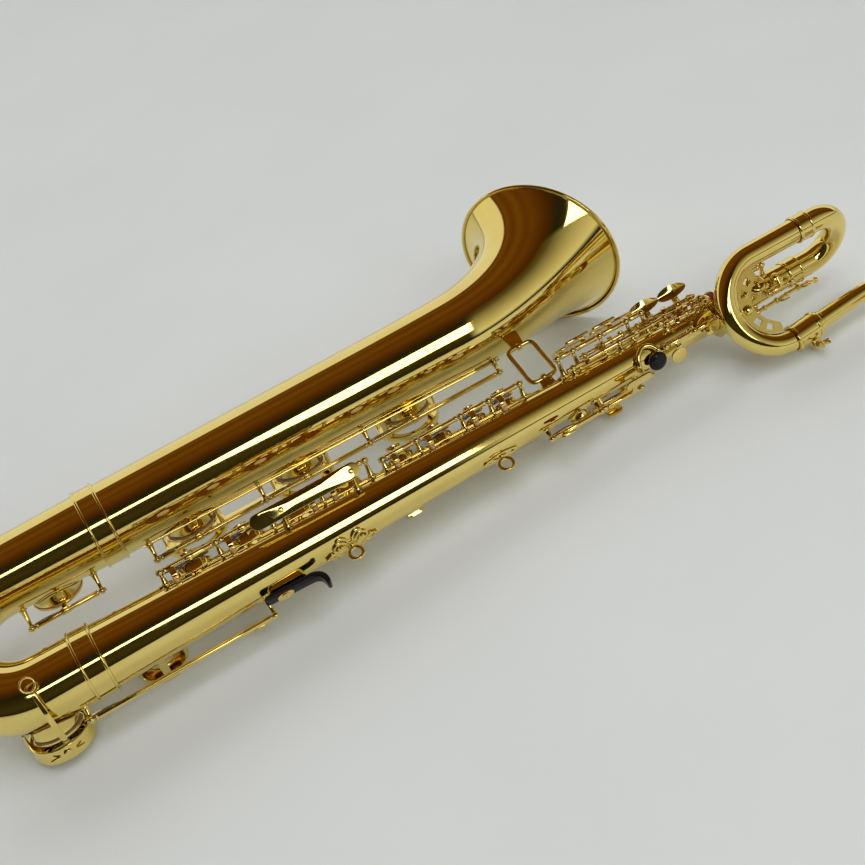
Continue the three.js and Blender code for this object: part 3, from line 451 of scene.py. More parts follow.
def surface_z(tube_name, theta, x, y):
    """Height of the tube skin in a key frame, above the point (x, y)."""
    r = tube_radius(tube_name, x)
    if tube_name != "body" or x >= -BOW_STRAIGHT:
        return math.sqrt(max(0.0, r * r - y * y))
    m = spin(X, math.radians(theta - 90))
    lo, hi = 0.0, 60.0
    for _ in range(30):
        z = (lo + hi) / 2
        p = m @ vec(x, y, z)
        rho = math.hypot(p[0] + BOW_STRAIGHT, p[1] - bow_turn)
        inside = math.hypot(rho - bow_turn, p[2]) < r
        lo, hi = (z, hi) if inside else (lo, z)
    return lo


def in_key_frame(tube_name, theta, shape):
    return moved(shape, spin(X, math.radians(theta - 90)), (0, AXIS_Y[tube_name], 0))


# ---------------------------------------------------------------- materials
class Look:
    """Node tree of a material or of the world, with short calls for the nodes in use."""

    def __init__(self, tree):
        self.nodes, self.links = tree.nodes, tree.links

    def feed(self, socket, value):
        """Links a socket to another node's output, or sets its constant."""
        if isinstance(value, bpy.types.NodeSocket):
            self.links.new(value, socket)
        else:
            socket.default_value = value

    def node(self, kind, output, **inputs):
        n = self.nodes.new("ShaderNode" + kind)
        for socket, value in inputs.items():
            self.feed(n.inputs[socket.replace("_", " ")], value)
        return n.outputs[output]

    def noise(self, vector, scale, detail=3.0, rough=0.5):
        return self.node("TexNoise", "Fac", Vector=vector, Scale=scale, Detail=detail, Roughness=rough)

    def ramp(self, fac, stops):
        """Colours at places from 0 to 1."""
        r = self.nodes.new("ShaderNodeValToRGB")
        while len(r.color_ramp.elements) < len(stops):
            r.color_ramp.elements.new(0.5)
        for e, (pos, col) in zip(r.color_ramp.elements, stops):
            e.position = pos
            e.color = (*col, 1)
        self.links.new(fac, r.inputs["Fac"])
        return r.outputs["Color"]

    def spread(self, value, low, high, source=(0.3, 0.7)):
        """Maps the source range to the one from low to high."""
        return self.node("MapRange", "Result", Value=value, From_Min=source[0], From_Max=source[1],
                         To_Min=low, To_Max=high)

    def bump(self, height, distance):
        return self.node("Bump", "Normal", Height=height, Distance=distance, Strength=1.0)

    def math(self, operation, a, b):
        n = self.nodes.new("ShaderNodeMath")
        n.operation = operation
        self.feed(n.inputs[0], a)
        self.feed(n.inputs[1], b)
        return n.outputs["Value"]

    def mixed(self, fac, a, b):
        n = self.nodes.new("ShaderNodeMix")
        n.data_type = "RGBA"
        for index, value in ((0, fac), (6, a), (7, b)):
            self.feed(n.inputs[index], value)
        return n.outputs[2]


def new_material(name, **shader_inputs):
    m = bpy.data.materials.new(name)
    m.use_nodes = True
    look, shader = Look(m.node_tree), m.node_tree.nodes["Principled BSDF"]
    for socket, value in shader_inputs.items():
        look.feed(shader.inputs[socket.replace("_", " ")], value)
    return m, look, shader, look.node("TexCoord", "Object")


def surface(name, light, dark, rough, cloud, smudge, relief=None, **shader_inputs):
    """Clouds of two colours, uneven roughness and a fine relief, each from its own noise."""
    m, look, shader, v = new_material(name, **shader_inputs)
    colour = look.ramp(look.noise(v, *cloud), [(0.35, dark), (0.65, light)])
    look.feed(shader.inputs["Base Color"], colour)
    look.feed(shader.inputs["Roughness"], look.spread(look.noise(v, *smudge), *rough))
    if relief:
        depth, *grain = relief
        look.feed(shader.inputs["Normal"], look.bump(look.noise(v, *grain), depth))
    return m


def lacquered(name, light, dark, rough):
    """Polished brass under clear lacquer: faint tarnish clouds, smudges and a slight ripple."""
    return surface(name, light, dark, rough, (22.0, 4.0, 0.6), (60.0, 5.0, 0.65), (0.00004, 14.0, 2.0, 0.4),
                   Metallic=1.0, Coat_Weight=0.35, Coat_Roughness=0.04, Coat_IOR=1.5)


def plain(name, light, dark, rough, scale, relief=None, **shader_inputs):
    return surface(name, light, dark, rough, (scale, 5.0, 0.6), (scale * 0.6, 4.0, 0.6),
                   relief and (*relief, 4.0, 0.6), **shader_inputs)


LACQUER = lacquered("lacquer_tubes", (0.88, 0.70, 0.215), (0.84, 0.65, 0.18), (0.035, 0.07))
KEY_BRASS = lacquered("lacquer_keys", (0.90, 0.70, 0.23), (0.86, 0.63, 0.18), (0.05, 0.11))
STEEL = plain("rod_steel", (0.62, 0.60, 0.57), (0.48, 0.46, 0.43), (0.18, 0.34), 300.0, (0.00002, 900.0),
              Metallic=1.0)
BLUED = plain("blued_spring", (0.10, 0.16, 0.32), (0.04, 0.07, 0.16), (0.22, 0.36), 500.0, Metallic=1.0)
PAD = plain("pad_leather", (0.52, 0.30, 0.15), (0.38, 0.20, 0.09), (0.5, 0.7), 260.0, (0.00012, 700.0))
PEARL = plain("pearl_inlay", (0.90, 0.88, 0.84), (0.72, 0.72, 0.74), (0.12, 0.22), 140.0, (0.00003, 120.0),
              Coat_Weight=0.6, Specular_IOR_Level=0.6)
BLACK = plain("black_resin", (0.012, 0.012, 0.014), (0.006, 0.006, 0.007), (0.10, 0.20), 220.0,
              (0.00003, 400.0), Specular_IOR_Level=0.22)
FELT_RED = plain("felt_red", (0.20, 0.012, 0.010), (0.10, 0.005, 0.005), (0.85, 0.98), 600.0,
                 (0.0003, 1600.0), Sheen_Weight=0.12)
FELT_DARK = plain("felt_dark", (0.05, 0.045, 0.04), (0.02, 0.018, 0.016), (0.85, 0.98), 600.0,
                  (0.0003, 1600.0), Sheen_Weight=0.4)


def cork_material():
    m, look, shader, v = new_material("natural_cork")
    cells = look.node("TexVoronoi", "Distance", Vector=v, Scale=900.0)
    grain = [(0.0, (0.20, 0.10, 0.045)), (0.25, (0.52, 0.32, 0.17)), (0.8, (0.66, 0.44, 0.26))]
    look.feed(shader.inputs["Base Color"], look.ramp(cells, grain))
    look.feed(shader.inputs["Roughness"], look.spread(look.noise(v, 300.0), 0.75, 0.95))
    look.feed(shader.inputs["Normal"], look.bump(cells, 0.0003))
    return m


CORK = cork_material()

# ---------------------------------------------------------------- making objects
SHARP = math.radians(32)
ROOT = "instrument"


def new_mesh(name, verts, faces):
    """Mesh with its faces turned outwards."""
    mesh = bpy.data.meshes.new(name)
    mesh.from_pydata(verts.tolist(), [], faces)
    bm = bmesh.new()
    bm.from_mesh(mesh)
    bmesh.ops.recalc_face_normals(bm, faces=bm.faces)
    bm.to_mesh(mesh)
    bm.free()
    return mesh


def placed(name, data):
    obj = bpy.data.objects.new(name, data)
    bpy.context.scene.collection.objects.link(obj)
    return obj


def emit(name, shapes, material, body=ROOT, nodes=(), at=None):
    """Makes a piece that rides on a body. at is the (tube, theta) of the key frame of its shapes."""
    if at:
        shapes = [in_key_frame(*at, shape) for shape in shapes]
    verts, faces = merge(shapes)
    mesh = new_mesh(name, to_world(verts), faces)
    mesh.shade_smooth()
    mesh.set_sharp_from_angle(angle=SHARP)
    mesh.materials.append(material)
    obj = placed(name, mesh)
    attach(obj, body)
    if nodes:
        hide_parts(*nodes)


def emit_lacquered(name, shapes, node=None, body=ROOT, at=None):
    """Lacquered piece, which stands for a CAD node if one is named."""
    emit(name, shapes, LACQUER, body, [node] if node else (), at)


def emit_keywork(name, shapes, node, at=None):
    """Keywork that stands for the CAD node of its own body."""
    emit(name, shapes, KEY_BRASS, node, [node], at)


def cut(shape, cutters):
    """Shape minus cutters, by the exact boolean. All in instrument millimetres."""
    made = [placed("cutting", new_mesh("cutting", *part)) for part in (shape, merge(cutters))]
    mod = made[0].modifiers.new("cut", "BOOLEAN")
    mod.operation = "DIFFERENCE"
    mod.solver = "EXACT"
    mod.object = made[1]
    bpy.context.view_layer.update()
    result = made[0].evaluated_get(bpy.context.evaluated_depsgraph_get()).to_mesh()
    verts = np.array([v.co[:] for v in result.vertices])
    faces = [tuple(p.vertices) for p in result.polygons]
    for obj in made:
        mesh = obj.data
        bpy.data.objects.remove(obj)
        bpy.data.meshes.remove(mesh)
    return verts, faces


# ---------------------------------------------------------------- key table, as in the CAD part
OPEN, SHUT = "open", "shut"
# Sides of the tubes, as the angles of their key frames.
STACK_SIDE, TABLE_SIDE, PALM_SIDE, GUARD_SIDE = 15, 20, -15, 70
THUMB_SIDE, BACK, LINK_SIDE, PALM_F_SIDE, UPPER_OCTAVE_SIDE = 157, 180, 205, 105, 115
G_SHARP_SIDE, SIDE_B_FLAT_SIDE, SIDE_C_SIDE, HIGH_E_SIDE = -48, -66, -140, -85
LOW_E_FLAT_SIDE, LOW_C_SIDE, BELL_SIDE = -88, -118, -115
# Hinge lines in a key frame: (across, height over the axis of the tube).
LOWER, UPPER, BELLS, PALM = (-24, 36.5), (-20, 29.8), (34, 46), (-15, 23.5)
G_SHARP_HINGE, SIDE_B_FLAT_HINGE, SIDE_C_HINGE, HIGH_E_HINGE = (19, 30.5), (16.5, 29), (16, 27), (15, 25)
PALM_F_HINGE, OCTAVE_HINGE, UPPER_OCTAVE_HINGE = (15, 21), (10, 22), (-11, 19.5)
TABLE_HINGE, LOW_A_HINGE, LOW_E_FLAT_HINGE, LOW_C_HINGE = (-20, 34), (-9, 28), (-27, 38), (28, 36)
KEY_FIELDS = ("name", "tube", "theta", "x", "hole", "hinge", "barrel", "travel", "stands", "arm_x")
KEY_ROWS = [
    ("key_d", "body", STACK_SIDE, 130, 19, LOWER, (104, 154), 13, OPEN),
    ("key_e", "body", STACK_SIDE, 186, 18.6, LOWER, (162, 209), 13, OPEN),
    ("key_f", "body", STACK_SIDE, 240, 18, LOWER, (217, 262), 13, OPEN),
    ("key_f_sharp", "body", STACK_SIDE, 292, 17.4, LOWER, (270, 314), 13, OPEN),
    ("key_g", "body", STACK_SIDE, 353, 15, UPPER, (338, 368), 13, OPEN),
    ("key_a", "body", STACK_SIDE, 397, 14, UPPER, (376, 418), 13, OPEN),
    ("key_bis", "body", STACK_SIDE, 438, 11.5, UPPER, (426, 450), 13, OPEN),
    ("key_b", "body", STACK_SIDE, 472, 12, UPPER, (458, 486), 13, OPEN),
    ("key_g_sharp", "body", G_SHARP_SIDE, 398, 13, G_SHARP_HINGE, (384, 412), 11, SHUT),
    ("key_side_b_flat", "body", SIDE_B_FLAT_SIDE, 470, 11, SIDE_B_FLAT_HINGE, (336, 484), 11, SHUT),
    ("key_side_c", "body", SIDE_C_SIDE, 533, 10.8, SIDE_C_HINGE, (496, 546), 11, SHUT),
    ("key_high_e", "body", HIGH_E_SIDE, 592, 9.6, HIGH_E_HINGE, (560, 604), 11, SHUT),
    ("key_palm_d", "body", PALM_SIDE, 655, 9, PALM, (642, 664), 12, SHUT),
    ("key_palm_e_flat", "body", PALM_SIDE, 684, 9, PALM, (672, 697), 12, SHUT),
    ("key_palm_f", "body", PALM_F_SIDE, 757, 9, PALM_F_HINGE, (732, 770), 12, SHUT),
    ("octave_vent_key", "body", THUMB_SIDE, 690, 3.6, OCTAVE_HINGE, (676, 698), 10, SHUT),
    ("upper_octave_key", "body", UPPER_OCTAVE_SIDE, 780, 3.6, UPPER_OCTAVE_HINGE, (768, 788), 10, SHUT),
    ("key_low_e_flat", "body", LOW_E_FLAT_SIDE, 62, 21, LOW_E_FLAT_HINGE, (36, 176), 9, SHUT),
    ("key_low_c", "body", LOW_C_SIDE, -48, 24, LOW_C_HINGE, (-12, 170), 12, OPEN, -9),
    ("key_low_c_sharp", "bell", BELL_SIDE, 5, 25, BELLS, (-26, 40), 10, SHUT),
    ("key_low_b", "bell", BELL_SIDE, 150, 26, BELLS, (108, 221), 10, OPEN),
    ("key_low_b_flat", "bell", BELL_SIDE, 273, 26.5, BELLS, (229, 341), 10, OPEN),
    ("key_low_a", "bell", BELL_SIDE, 398, 27, BELLS, (349, 496), 10, OPEN),
]
# The arm stands over the hole where a row gives no place of its own for it.
KEYS = {row[0]: dict(zip(KEY_FIELDS, (*row, row[3]))) for row in KEY_ROWS}


def hole_top(k):
    return tube_radius(k["tube"], k["x"]) + CHIMNEY


def rest_turn(k):
    """Radians that an open-standing key is turned about its hinge at rest."""
    if k["stands"] == SHUT:
        return 0.0
    return math.radians(k["travel"]) * (1 if k["hinge"][0] < 0 else -1)


def on_key(k, shape):
    """Puts a shape made for the closed key where it is at rest."""
    hinge = vec(0, *k["hinge"])
    v = (shape[0] - hinge) @ spin(X, rest_turn(k)).T + hinge
    return in_key_frame(k["tube"], k["theta"], (v, shape[1]))


# ---------------------------------------------------------------- small fittings
def post_shapes(tube_name, x, y, z, foot=None):
    """Ball post on a flared foot."""
    d = unit(vec(0, y, z))
    foot = tube_radius(tube_name, x) if foot is None else foot
    h = math.hypot(y, z) - foot
    profile = [(0, -2.4), (4.2, -2.4), (4.4, -0.6), (4.3, 0.5), (3.9, 1.1), (3.1, 1.7), (2.8, 2.6),
               (2.2, h * 0.5), (1.9, h - 4.2), (2.1, h - 3.1)]
    for t in np.linspace(math.radians(140), 0, 14):
        profile.append((max(0.0, math.sin(t)) * POST_R, h + math.cos(t) * POST_R))
    profile[-1] = (0, h + POST_R)
    return turned(profile, vec(x, *(d[1:] * foot)), d, 24)


def screw_head(at, direction, r=1.9, h=0.9, n=20):
    """Cheese head. Its slot is a slot_line."""
    profile = [(0, 0), (r, 0), (r, h * 0.8), (r * 0.9, h), (r * 0.55, h), (0, h)]
    return turned(profile, at, direction, n)


def slot_line(at, direction, r=1.9, h=0.9):
    a, b, d = basis_for(direction)
    at = np.asarray(at, float) + d * (h - 0.02)
    return bar(at - a * r * 0.86, at + a * r * 0.86, 0.45, 0.12, b, 0.05)


def flexed(path, width0, width1, thick, side=X, corner=0.8):
    """Strap whose width changes along a smooth path."""
    p = spline(path, 8)
    n = len(p)
    w = np.linspace(width0, width1, n)
    ends = np.ones(n)
    ends[0], ends[1], ends[-1], ends[-2] = 0.7, 0.95, 0.6, 0.9
    scale = [(w[i] / width0 * ends[i], ends[i] ** 0.5) for i in range(n)]
    return sweep(p, section(width0, thick, corner), side, scale)


def barrel_shapes(x0, x1, y, z):
    """Hinge tube with a collar ring at each end."""
    shapes = [rod((x0, y, z), (x1, y, z), BARREL_R, 24, 0.3)]
    if x1 - x0 > 12:
        for a, b in ((x0 + 0.05, x0 + 2.2), (x1 - 2.2, x1 - 0.05)):
            shapes.append(rod((a, y, z), (b, y, z), BARREL_R + 0.35, 24, 0.3))
    return shapes


def cup_shape(x, z, r):
    """Pad cup with a rolled edge, a shoulder and a low dome."""
    h = CUP_HEIGHT
    edge = [(0, 1.2), (r - 1.2, 1.2), (r - 1.0, 0.5), (r - 0.5, 0.15), (r, 0.35), (r + 0.05, 0.9)]
    shoulder = [(r - 0.15, 1.5), (r - 0.12, h * 0.42), (r - 0.5, h * 0.58), (r - 1.4, h * 0.7)]
    dome = [(r * u, h * v)
            for u, v in ((0.80, 0.80), (0.74, 0.90), (0.66, 0.93), (0.4, 0.97), (0.15, 1), (0, 1))]
    return turned([*edge, *shoulder, *dome], vec(x, 0, z), Z, 64)


def pad_shape(x, z, r):
    """Leather pad that stands a little out of its cup, with a rounded edge."""
    edge = r - 1.5
    profile = [(0, 1.3), (edge, 1.3), (edge, 0.7), (edge - 0.2, 0.25), (edge - 0.8, 0.02),
               (edge - 2.2, 0.08), (edge * 0.5, 0.05), (0, 0.05)]
    return turned(profile, vec(x, 0, z), Z, 56)


def resonator(x, z, r):
    e = r * 0.45
    return turned([(0, 0.1), (e, 0.1), (e, -0.25), (e * 0.8, -0.6), (e * 0.3, -0.75), (0, -0.8)],
                  vec(x, 0, z), Z, 32)


def pearl_holder(x, y, z, r):
    """Brass cup that carries a finger pearl."""
    profile = [(0, -0.6), (2.6, -0.6), (2.8, 0), (r * 0.6, 0.2), (r - 0.3, 1.2), (r, 2.0), (r, 3.4),
               (r - 0.25, 3.75), (r - 0.9, 3.75), (r - 1.0, 3.2), (0, 3.2)]
    return turned(profile, vec(x, y, z), Z, 40)


def pearl_disc(x, y, z, r):
    e = r - 1.05
    profile = [(0, 3.0), (e, 3.0), (e, 3.9), (e - 0.3, 4.15), (e - 1.0, 4.2), (e * 0.5, 4.0), (0, 3.85)]
    return turned(profile, vec(x, y, z), Z, 40)


# ---------------------------------------------------------------- the tubes
def chimney(k):
    """Tone hole wall drawn up out of the tube, with a curved foot and a rolled lip."""
    top, r, n = hole_top(k), k["hole"], 72
    c, s = circle(n)

    def skin(x, y):
        return surface_z(k["tube"], k["theta"], x, y)

    def ring(radius, heights):
        return np.column_stack([k["x"] + radius * c, radius * s, np.broadcast_to(heights, n)])

    foot = min(4.5, r * 0.35)
    rows = []
    for u, lift in ((1, 0.04), (0.6, 0.1), (0.3, 0.4), (0.1, 1.0), (0, 2.0)):
        flared = ring(r + foot * u, 0)
        rows.append(ring(r + foot * u, [min(skin(x, y) + lift, top - 0.8) for x, y, z in flared]))
    for out, down in ((0, 0.7), (0.1, 0.3), (-0.1, 0.02), (-0.55, 0), (-1.0, 0.1), (-1.15, 0.5)):
        rows.append(ring(r + out, top - down))
    level = np.array([skin(x, y) for x, y, z in ring(r, 0)])
    rows += [ring(r - 1.15, level - 2.4), ring(r - 0.4, level - 1.2)]
    return in_key_frame(k["tube"], k["theta"], loft(rows, close=True))


def cutter(k):
    r = tube_radius(k["tube"], k["x"])
    a, b = vec(k["x"], 0, math.sqrt(r * r - k["hole"] ** 2) * 0.8), vec(k["x"], 0, hole_top(k) + 6)
    return in_key_frame(k["tube"], k["theta"], rod(a, b, k["hole"] - 0.7, 72, 0.01))


# Posts soldered to a tube: (tube, side, hinge line, places along the tube).
BODY_POSTS = [
    ("body", G_SHARP_SIDE, G_SHARP_HINGE, (380, 416)),
    ("body", SIDE_B_FLAT_SIDE, SIDE_B_FLAT_HINGE, (332, 488)),
    ("body", SIDE_C_SIDE, SIDE_C_HINGE, (492, 550)), ("body", HIGH_E_SIDE, HIGH_E_HINGE, (556, 608)),
    ("body", PALM_SIDE, PALM, (638, 668, 700.5)), ("body", PALM_F_SIDE, PALM_F_HINGE, (728, 774)),
    ("body", LOW_C_SIDE, LOW_C_HINGE, (174,)), ("body", THUMB_SIDE, OCTAVE_HINGE, (638, 672, 702)),
    ("body", BACK, LOW_A_HINGE, (556, 600)), ("body", UPPER_OCTAVE_SIDE, UPPER_OCTAVE_HINGE, (764, 792)),
]
BOW_POSTS = [("bell", BELL_SIDE, BELLS, (-30, 44)), ("body", LOW_C_SIDE, LOW_C_HINGE, (-16,))]


def slotted_screw(x, y, z, outward):
    at = vec(x, y, z) + outward * (POST_R - 0.5)
    return [screw_head(at, outward), slot_line(at, outward)]


def soldered(table):
    """Posts of a table, and the screws in the outer face of the first and last post of each line."""
    posts, screws = [], []
    for tube_name, theta, (y, z), places in table:
        posts += [in_key_frame(tube_name, theta, post_shapes(tube_name, x, y, z)) for x in places]
        ends = [slotted_screw(places[0], y, z, -X)]
        if len(places) > 1:
            ends.append(slotted_screw(places[-1], y, z, X))
        screws += [in_key_frame(tube_name, theta, shape) for end in ends for shape in end]
    return posts, screws


def drilled(shell, keys):
    """Shell with a hole cut for each key."""
    return cut(shell, [cutter(k) for k in keys])


def make_body_tube():
    keys = [k for k in KEYS.values() if k["tube"] == "body" and k["x"] > 0]
    shell = tube(body_route, stations(GAP / 2, BODY_LENGTH - GAP / 2, 9), body_radius, 128)
    for stack in (True, False):
        shell = drilled(shell, [k for k in keys if (k["theta"] == STACK_SIDE) == stack])
    posts, screws = soldered(BODY_POSTS)
    emit_lacquered("body_tube_shell", [shell], "body_tube")
    emit_lacquered("body_tube_fittings", [*map(chimney, keys), *posts])
    return screws


def make_bow():
    keys = [KEYS["key_low_c"], KEYS["key_low_c_sharp"]]
    shell = tube(bow_route, stations(GAP / 2, bow_route.length - GAP / 2, 3), bow_radius, 128)
    posts, screws = soldered(BOW_POSTS)
    emit_lacquered("bow_shell", [drilled(shell, keys)], "bow")
    emit_lacquered("bow_fittings", [*map(chimney, keys), *posts])
    return screws


def make_bell():
    keys = [KEYS["key_low_b"], KEYS["key_low_b_flat"], KEYS["key_low_a"]]
    end, flare, roll = bell_route.length, 24, 1.9
    spots = [*stations(GAP / 2, BELL_STRAIGHT, 8), *stations(BELL_STRAIGHT, end - flare, 3)[1:],
             *stations(end - flare, end - 1.5, 1.2)[1:]]
    outer = [(bell_radius(s), s) for s in spots]
    inner = [(bell_radius(s) - WALL, s) for s in reversed(spots)]
    rim = [(RIM_RADIUS + 0.1 + roll * math.cos(a), end - roll + roll * math.sin(a))
           for a in np.linspace(math.radians(-150), math.radians(130), 16)]
    emit_lacquered("bell_shell", [drilled(bent([*outer, *rim, *inner], bell_route, 160), keys)], "bell")
    emit_lacquered("bell_tone_holes", [*map(chimney, keys)])


def make_tubes():
    screws = make_body_tube()
    screws += make_bow()
    emit("post_screws", screws, STEEL)
    make_bell()
    bow = tube(upper_route, stations(GAP / 2, upper_route.length - GAP / 2, 2), upper_radius, 72)
    emit_lacquered("upper_bow_tube", [bow], "upper_bow")
    emit_lacquered("crook_tube", [tube(crook_route, stations(GAP / 2, crook_end, 2), crook_radius, 72)],
                   "crook")


def sleeve(node, route, a, b, radius_at, n, bead=1.4, wall=1.4):
    """Sleeve from a to b along a route, with a raised bead near each end."""
    def inner(s):
        return radius_at(s) + GAP + 0.1

    def crest(centre, half, lift):
        return [(inner(centre) + wall + lift * math.cos(t), centre + half * math.sin(t))
                for t in np.linspace(-math.pi / 2, math.pi / 2, 9)]

    profile = [(inner(a), a), (inner(a) + wall * 0.7, a), *crest(a + 1.7, 1.5, bead)]
    profile += [(inner(a) + wall, a + 3.6), (inner(b) + wall, b - 3.6)]
    profile += [*crest(b - 1.7, 1.5, bead), (inner(b) + wall * 0.7, b), (inner(b), b)]
    emit_lacquered(node + "_band", [bent(profile, route, n)], node)


def make_sleeves():
    sleeve("body_bow_ring", body_route, -2, 21, body_radius, 128)
    sleeve("bell_bow_ring", bell_route, -2, 21, bell_radius, 128)
    sleeve("body_top_ring", body_route, 798, 815, lambda s: BODY_R_HIGH + 0.3, 80, 0.7, 0.6)
    sleeve("upper_bow_ring", crook_route, -13, 4, lambda s: CROOK_R + 0.3, 80, 0.7, 0.6)


# ---------------------------------------------------------------- neck and receiver
RECEIVER_R, LUG_REACH, SCREW_R = 13.4, 19.0, 1.8


def make_receiver():
    inner = crook_radius(crook_end) + GAP + 0.3
    a, b = crook_end - 3, crook_route.length - 0.5
    r = RECEIVER_R
    profile = soften_loop([(inner, a), (r + 0.8, a), (r + 0.8, a + 2.4), (r, a + 3.2), (r, b - 3.2),
                           (r + 0.8, b - 2.4), (r + 0.8, b), (inner, b)], 0.35)
    p, t, n = crook_route.at(b - 8)
    away = unit(crook_side)
    away = unit(away - t * (away @ t))
    axis = unit(np.cross(t, away))
    lugs = []
    for side in (-1, 1):
        base = p + away * (r - 1.5) + axis * side * 2.4
        lugs.append(sweep([base + away * d for d in (0, 3, 6, 8.2, 9.4, 10)],
                          section(8.4, 3.0, 0.9), t, [1, 1, 1, 0.94, 0.78, 0.5]))
    emit_lacquered("receiver_sleeve", [bent(profile, crook_route, 96), *lugs], "neck_receiver")
    seat = p + away * LUG_REACH
    screw = [rod(seat - axis * 9.5, seat + axis * 9, SCREW_R, 24)]
    root = seat - axis * 5.0
    collar = soften([(0, 0), (3.4, 0), (3.6, 1.2), (2.6, 2.2), (2.6, 3.4), (3.0, 4.4), (0, 4.4)], 0.3)
    screw.append(turned(collar, root, -axis, 32))
    for side in (-1, 1):
        path = [root - axis * 2.5, root - axis * 6 + t * side * 3.2, root - axis * 10.5 + t * side * 4.4,
                root - axis * 13.2 + t * side * 3.6]
        screw.append(flexed(path, 5.0, 6.0, 1.9, away, 0.8))
    screw.append(ball(seat + axis * 9, 2.6, 20))
    emit("clamp_screw", screw, KEY_BRASS, "neck_screw", ["neck_screw"])


def make_neck():
    end = neck_route.length
    lip = NECK_R_LOW + 2.2
    tenon = 10.6
    outer = [(tenon, -21), (tenon, 0.5), (lip - 0.5, 0.5), (lip, 1.0), (lip, 3.2), (lip - 0.4, 3.8),
             (NECK_R_LOW + 0.9, 4.2), (NECK_R_LOW + 0.7, 7), (NECK_R_LOW + 0.2, 7.6)]
    spots = stations(8, end, 2)
    outer += [(neck_radius(s), s) for s in spots]
    inner = [(neck_radius(s) - WALL, s) for s in spots][::-1] + [(tenon - WALL, -21)]
    emit_lacquered("neck_tube", [bent([*outer, *inner], neck_route, 72)], "neck", "neck")
    a = end - 36
    profile = [(neck_radius(a) + 0.3, a), (neck_radius(a) + 1.1, a + 0.2)]
    profile += [(neck_radius(s) + 2.15 - 0.25 * (s - a) / 36, s) for s in stations(a + 1.6, end - 1.8, 2)]
    profile += [(neck_radius(end) + 1.5, end - 0.7), (neck_radius(end) + 0.4, end - 0.45)]
    emit("neck_cork_sleeve", [bent(profile, neck_route, 64)], CORK, "neck", ["neck_cork"])
    ring = [(neck_radius(a - 3) + lift, a - back)
            for lift, back in ((0.05, 4), (0.9, 3.6), (1.3, 2.4), (1.2, 0.6), (0.1, 0.3))]
    emit_lacquered("neck_cork_ring", [bent(ring, neck_route, 64)], body="neck")


# ---------------------------------------------------------------- fixed trim
def make_bell_brace():
    z = 12.0
    corners = [(506, 31), (508, 26.5), (512.5, 25), (527.5, 25), (533, 26.5), (535, 31), (535, 49),
               (535, 66), (533, 71.5), (528, 73), (512, 73), (507.5, 71.5), (506, 66), (506, 49)]
    loop = wire([(x, y, z) for x, y in corners], 2.4, 6, True, 18)
    feet = [
        flexed([(520, 14, 9), (520, 19, 10.5), (520, 25.5, z)], 17, 13, 4.6, X, 1.4),
        flexed([(520, 72.5, z), (520, 82, z + 0.6), (520, 93, z)], 13, 18, 4.6, X, 1.4),
    ]
    knobs = [ball((520, 26, z), 3.8, 22), ball((520, 72.6, z), 3.8, 22)]
    emit_lacquered("bell_brace_loop", [loop, *feet, *knobs], "bell_brace")


CRESCENT_SPREAD = 84
CRESCENT_WINDOWS = [(-66, -52), (-40, -24), (24, 40), (52, 66)]


def pierced_crescent(point_at, inner, outer, thickness):
    """Crescent plate on a polar grid, with its windows left out and walls all round."""
    steps, rings = 84, 7
    turns = np.linspace(-CRESCENT_SPREAD, CRESCENT_SPREAD, steps + 1)
    radii = [inner, inner + 2.2, inner + 3.4, *np.linspace(inner + 5, outer - 5, rings - 5), outer - 3.6,
             outer - 2.2, outer]

    def window(i, j):
        mid = (turns[i] + turns[i + 1]) / 2
        return 2 <= j < len(radii) - 3 and any(low < mid < high for low, high in CRESCENT_WINDOWS)

    verts, index, faces = [], {}, []

    def vertex(i, j, k):
        if (i, j, k) not in index:
            index[i, j, k] = len(verts)
            taper = 1.0 - 0.35 * (abs(turns[i]) / CRESCENT_SPREAD) ** 4
            r = outer - (outer - radii[j]) * taper
            verts.append(point_at(r, math.radians(turns[i]), (k - 0.5) * thickness))
        return index[i, j, k]

    kept = {(i, j) for i in range(steps) for j in range(len(radii) - 1) if not window(i, j)}
    for i, j in kept:
        around = [(i, j), (i + 1, j), (i + 1, j + 1), (i, j + 1)]
        faces.append(tuple(vertex(*c, 1) for c in around))
        faces.append(tuple(vertex(*c, 0) for c in reversed(around)))
        for (p, q), neighbour in zip(zip(around, around[1:] + around[:1]),
                                     [(i, j - 1), (i + 1, j), (i, j + 1), (i - 1, j)]):
            if neighbour not in kept:
                faces.append((vertex(*q, 1), vertex(*p, 1), vertex(*p, 0), vertex(*q, 0)))
    return np.array(verts), faces


def make_crook_brace():
    p, _, _ = crook_route.at(CROOK_LEG)
    outward = unit(crook_side)
    centre = p + outward * crook_turn_radius
    normal = unit(np.cross(X, outward))
    if normal[1] < 0:
        normal = -normal
    across = unit(np.cross(normal, X))
    inner, outer = 21.0, crook_turn_radius - CROOK_R + 0.6

    def point_at(r, angle, lift):
        return centre + r * (-math.cos(angle) * X - math.sin(angle) * across) + normal * lift

    plate = pierced_crescent(point_at, inner, outer, 2.4)
    post = centre - X * 28
    root = vec(post[0], 0, 0) + unit(post * vec(0, 1, 1)) * body_radius(post[0])
    dome = soften([(0, 0), (5.2, 0), (5.2, 1.2), (4.9, 2.4), (4.0, 3.6), (2.4, 4.5), (0, 4.9)], 0.4)
    shapes = [plate, rod(post - normal * 3, root, 3, 28)]
    shapes += [turned(dome, post + side * 0.8, side, 36) for side in (normal, -normal)]
    emit_lacquered("crook_brace_crescent", shapes, "crook_brace")


COLLAR_FROM, COLLAR_TO, COLLAR_R = 706, 717, 24.0


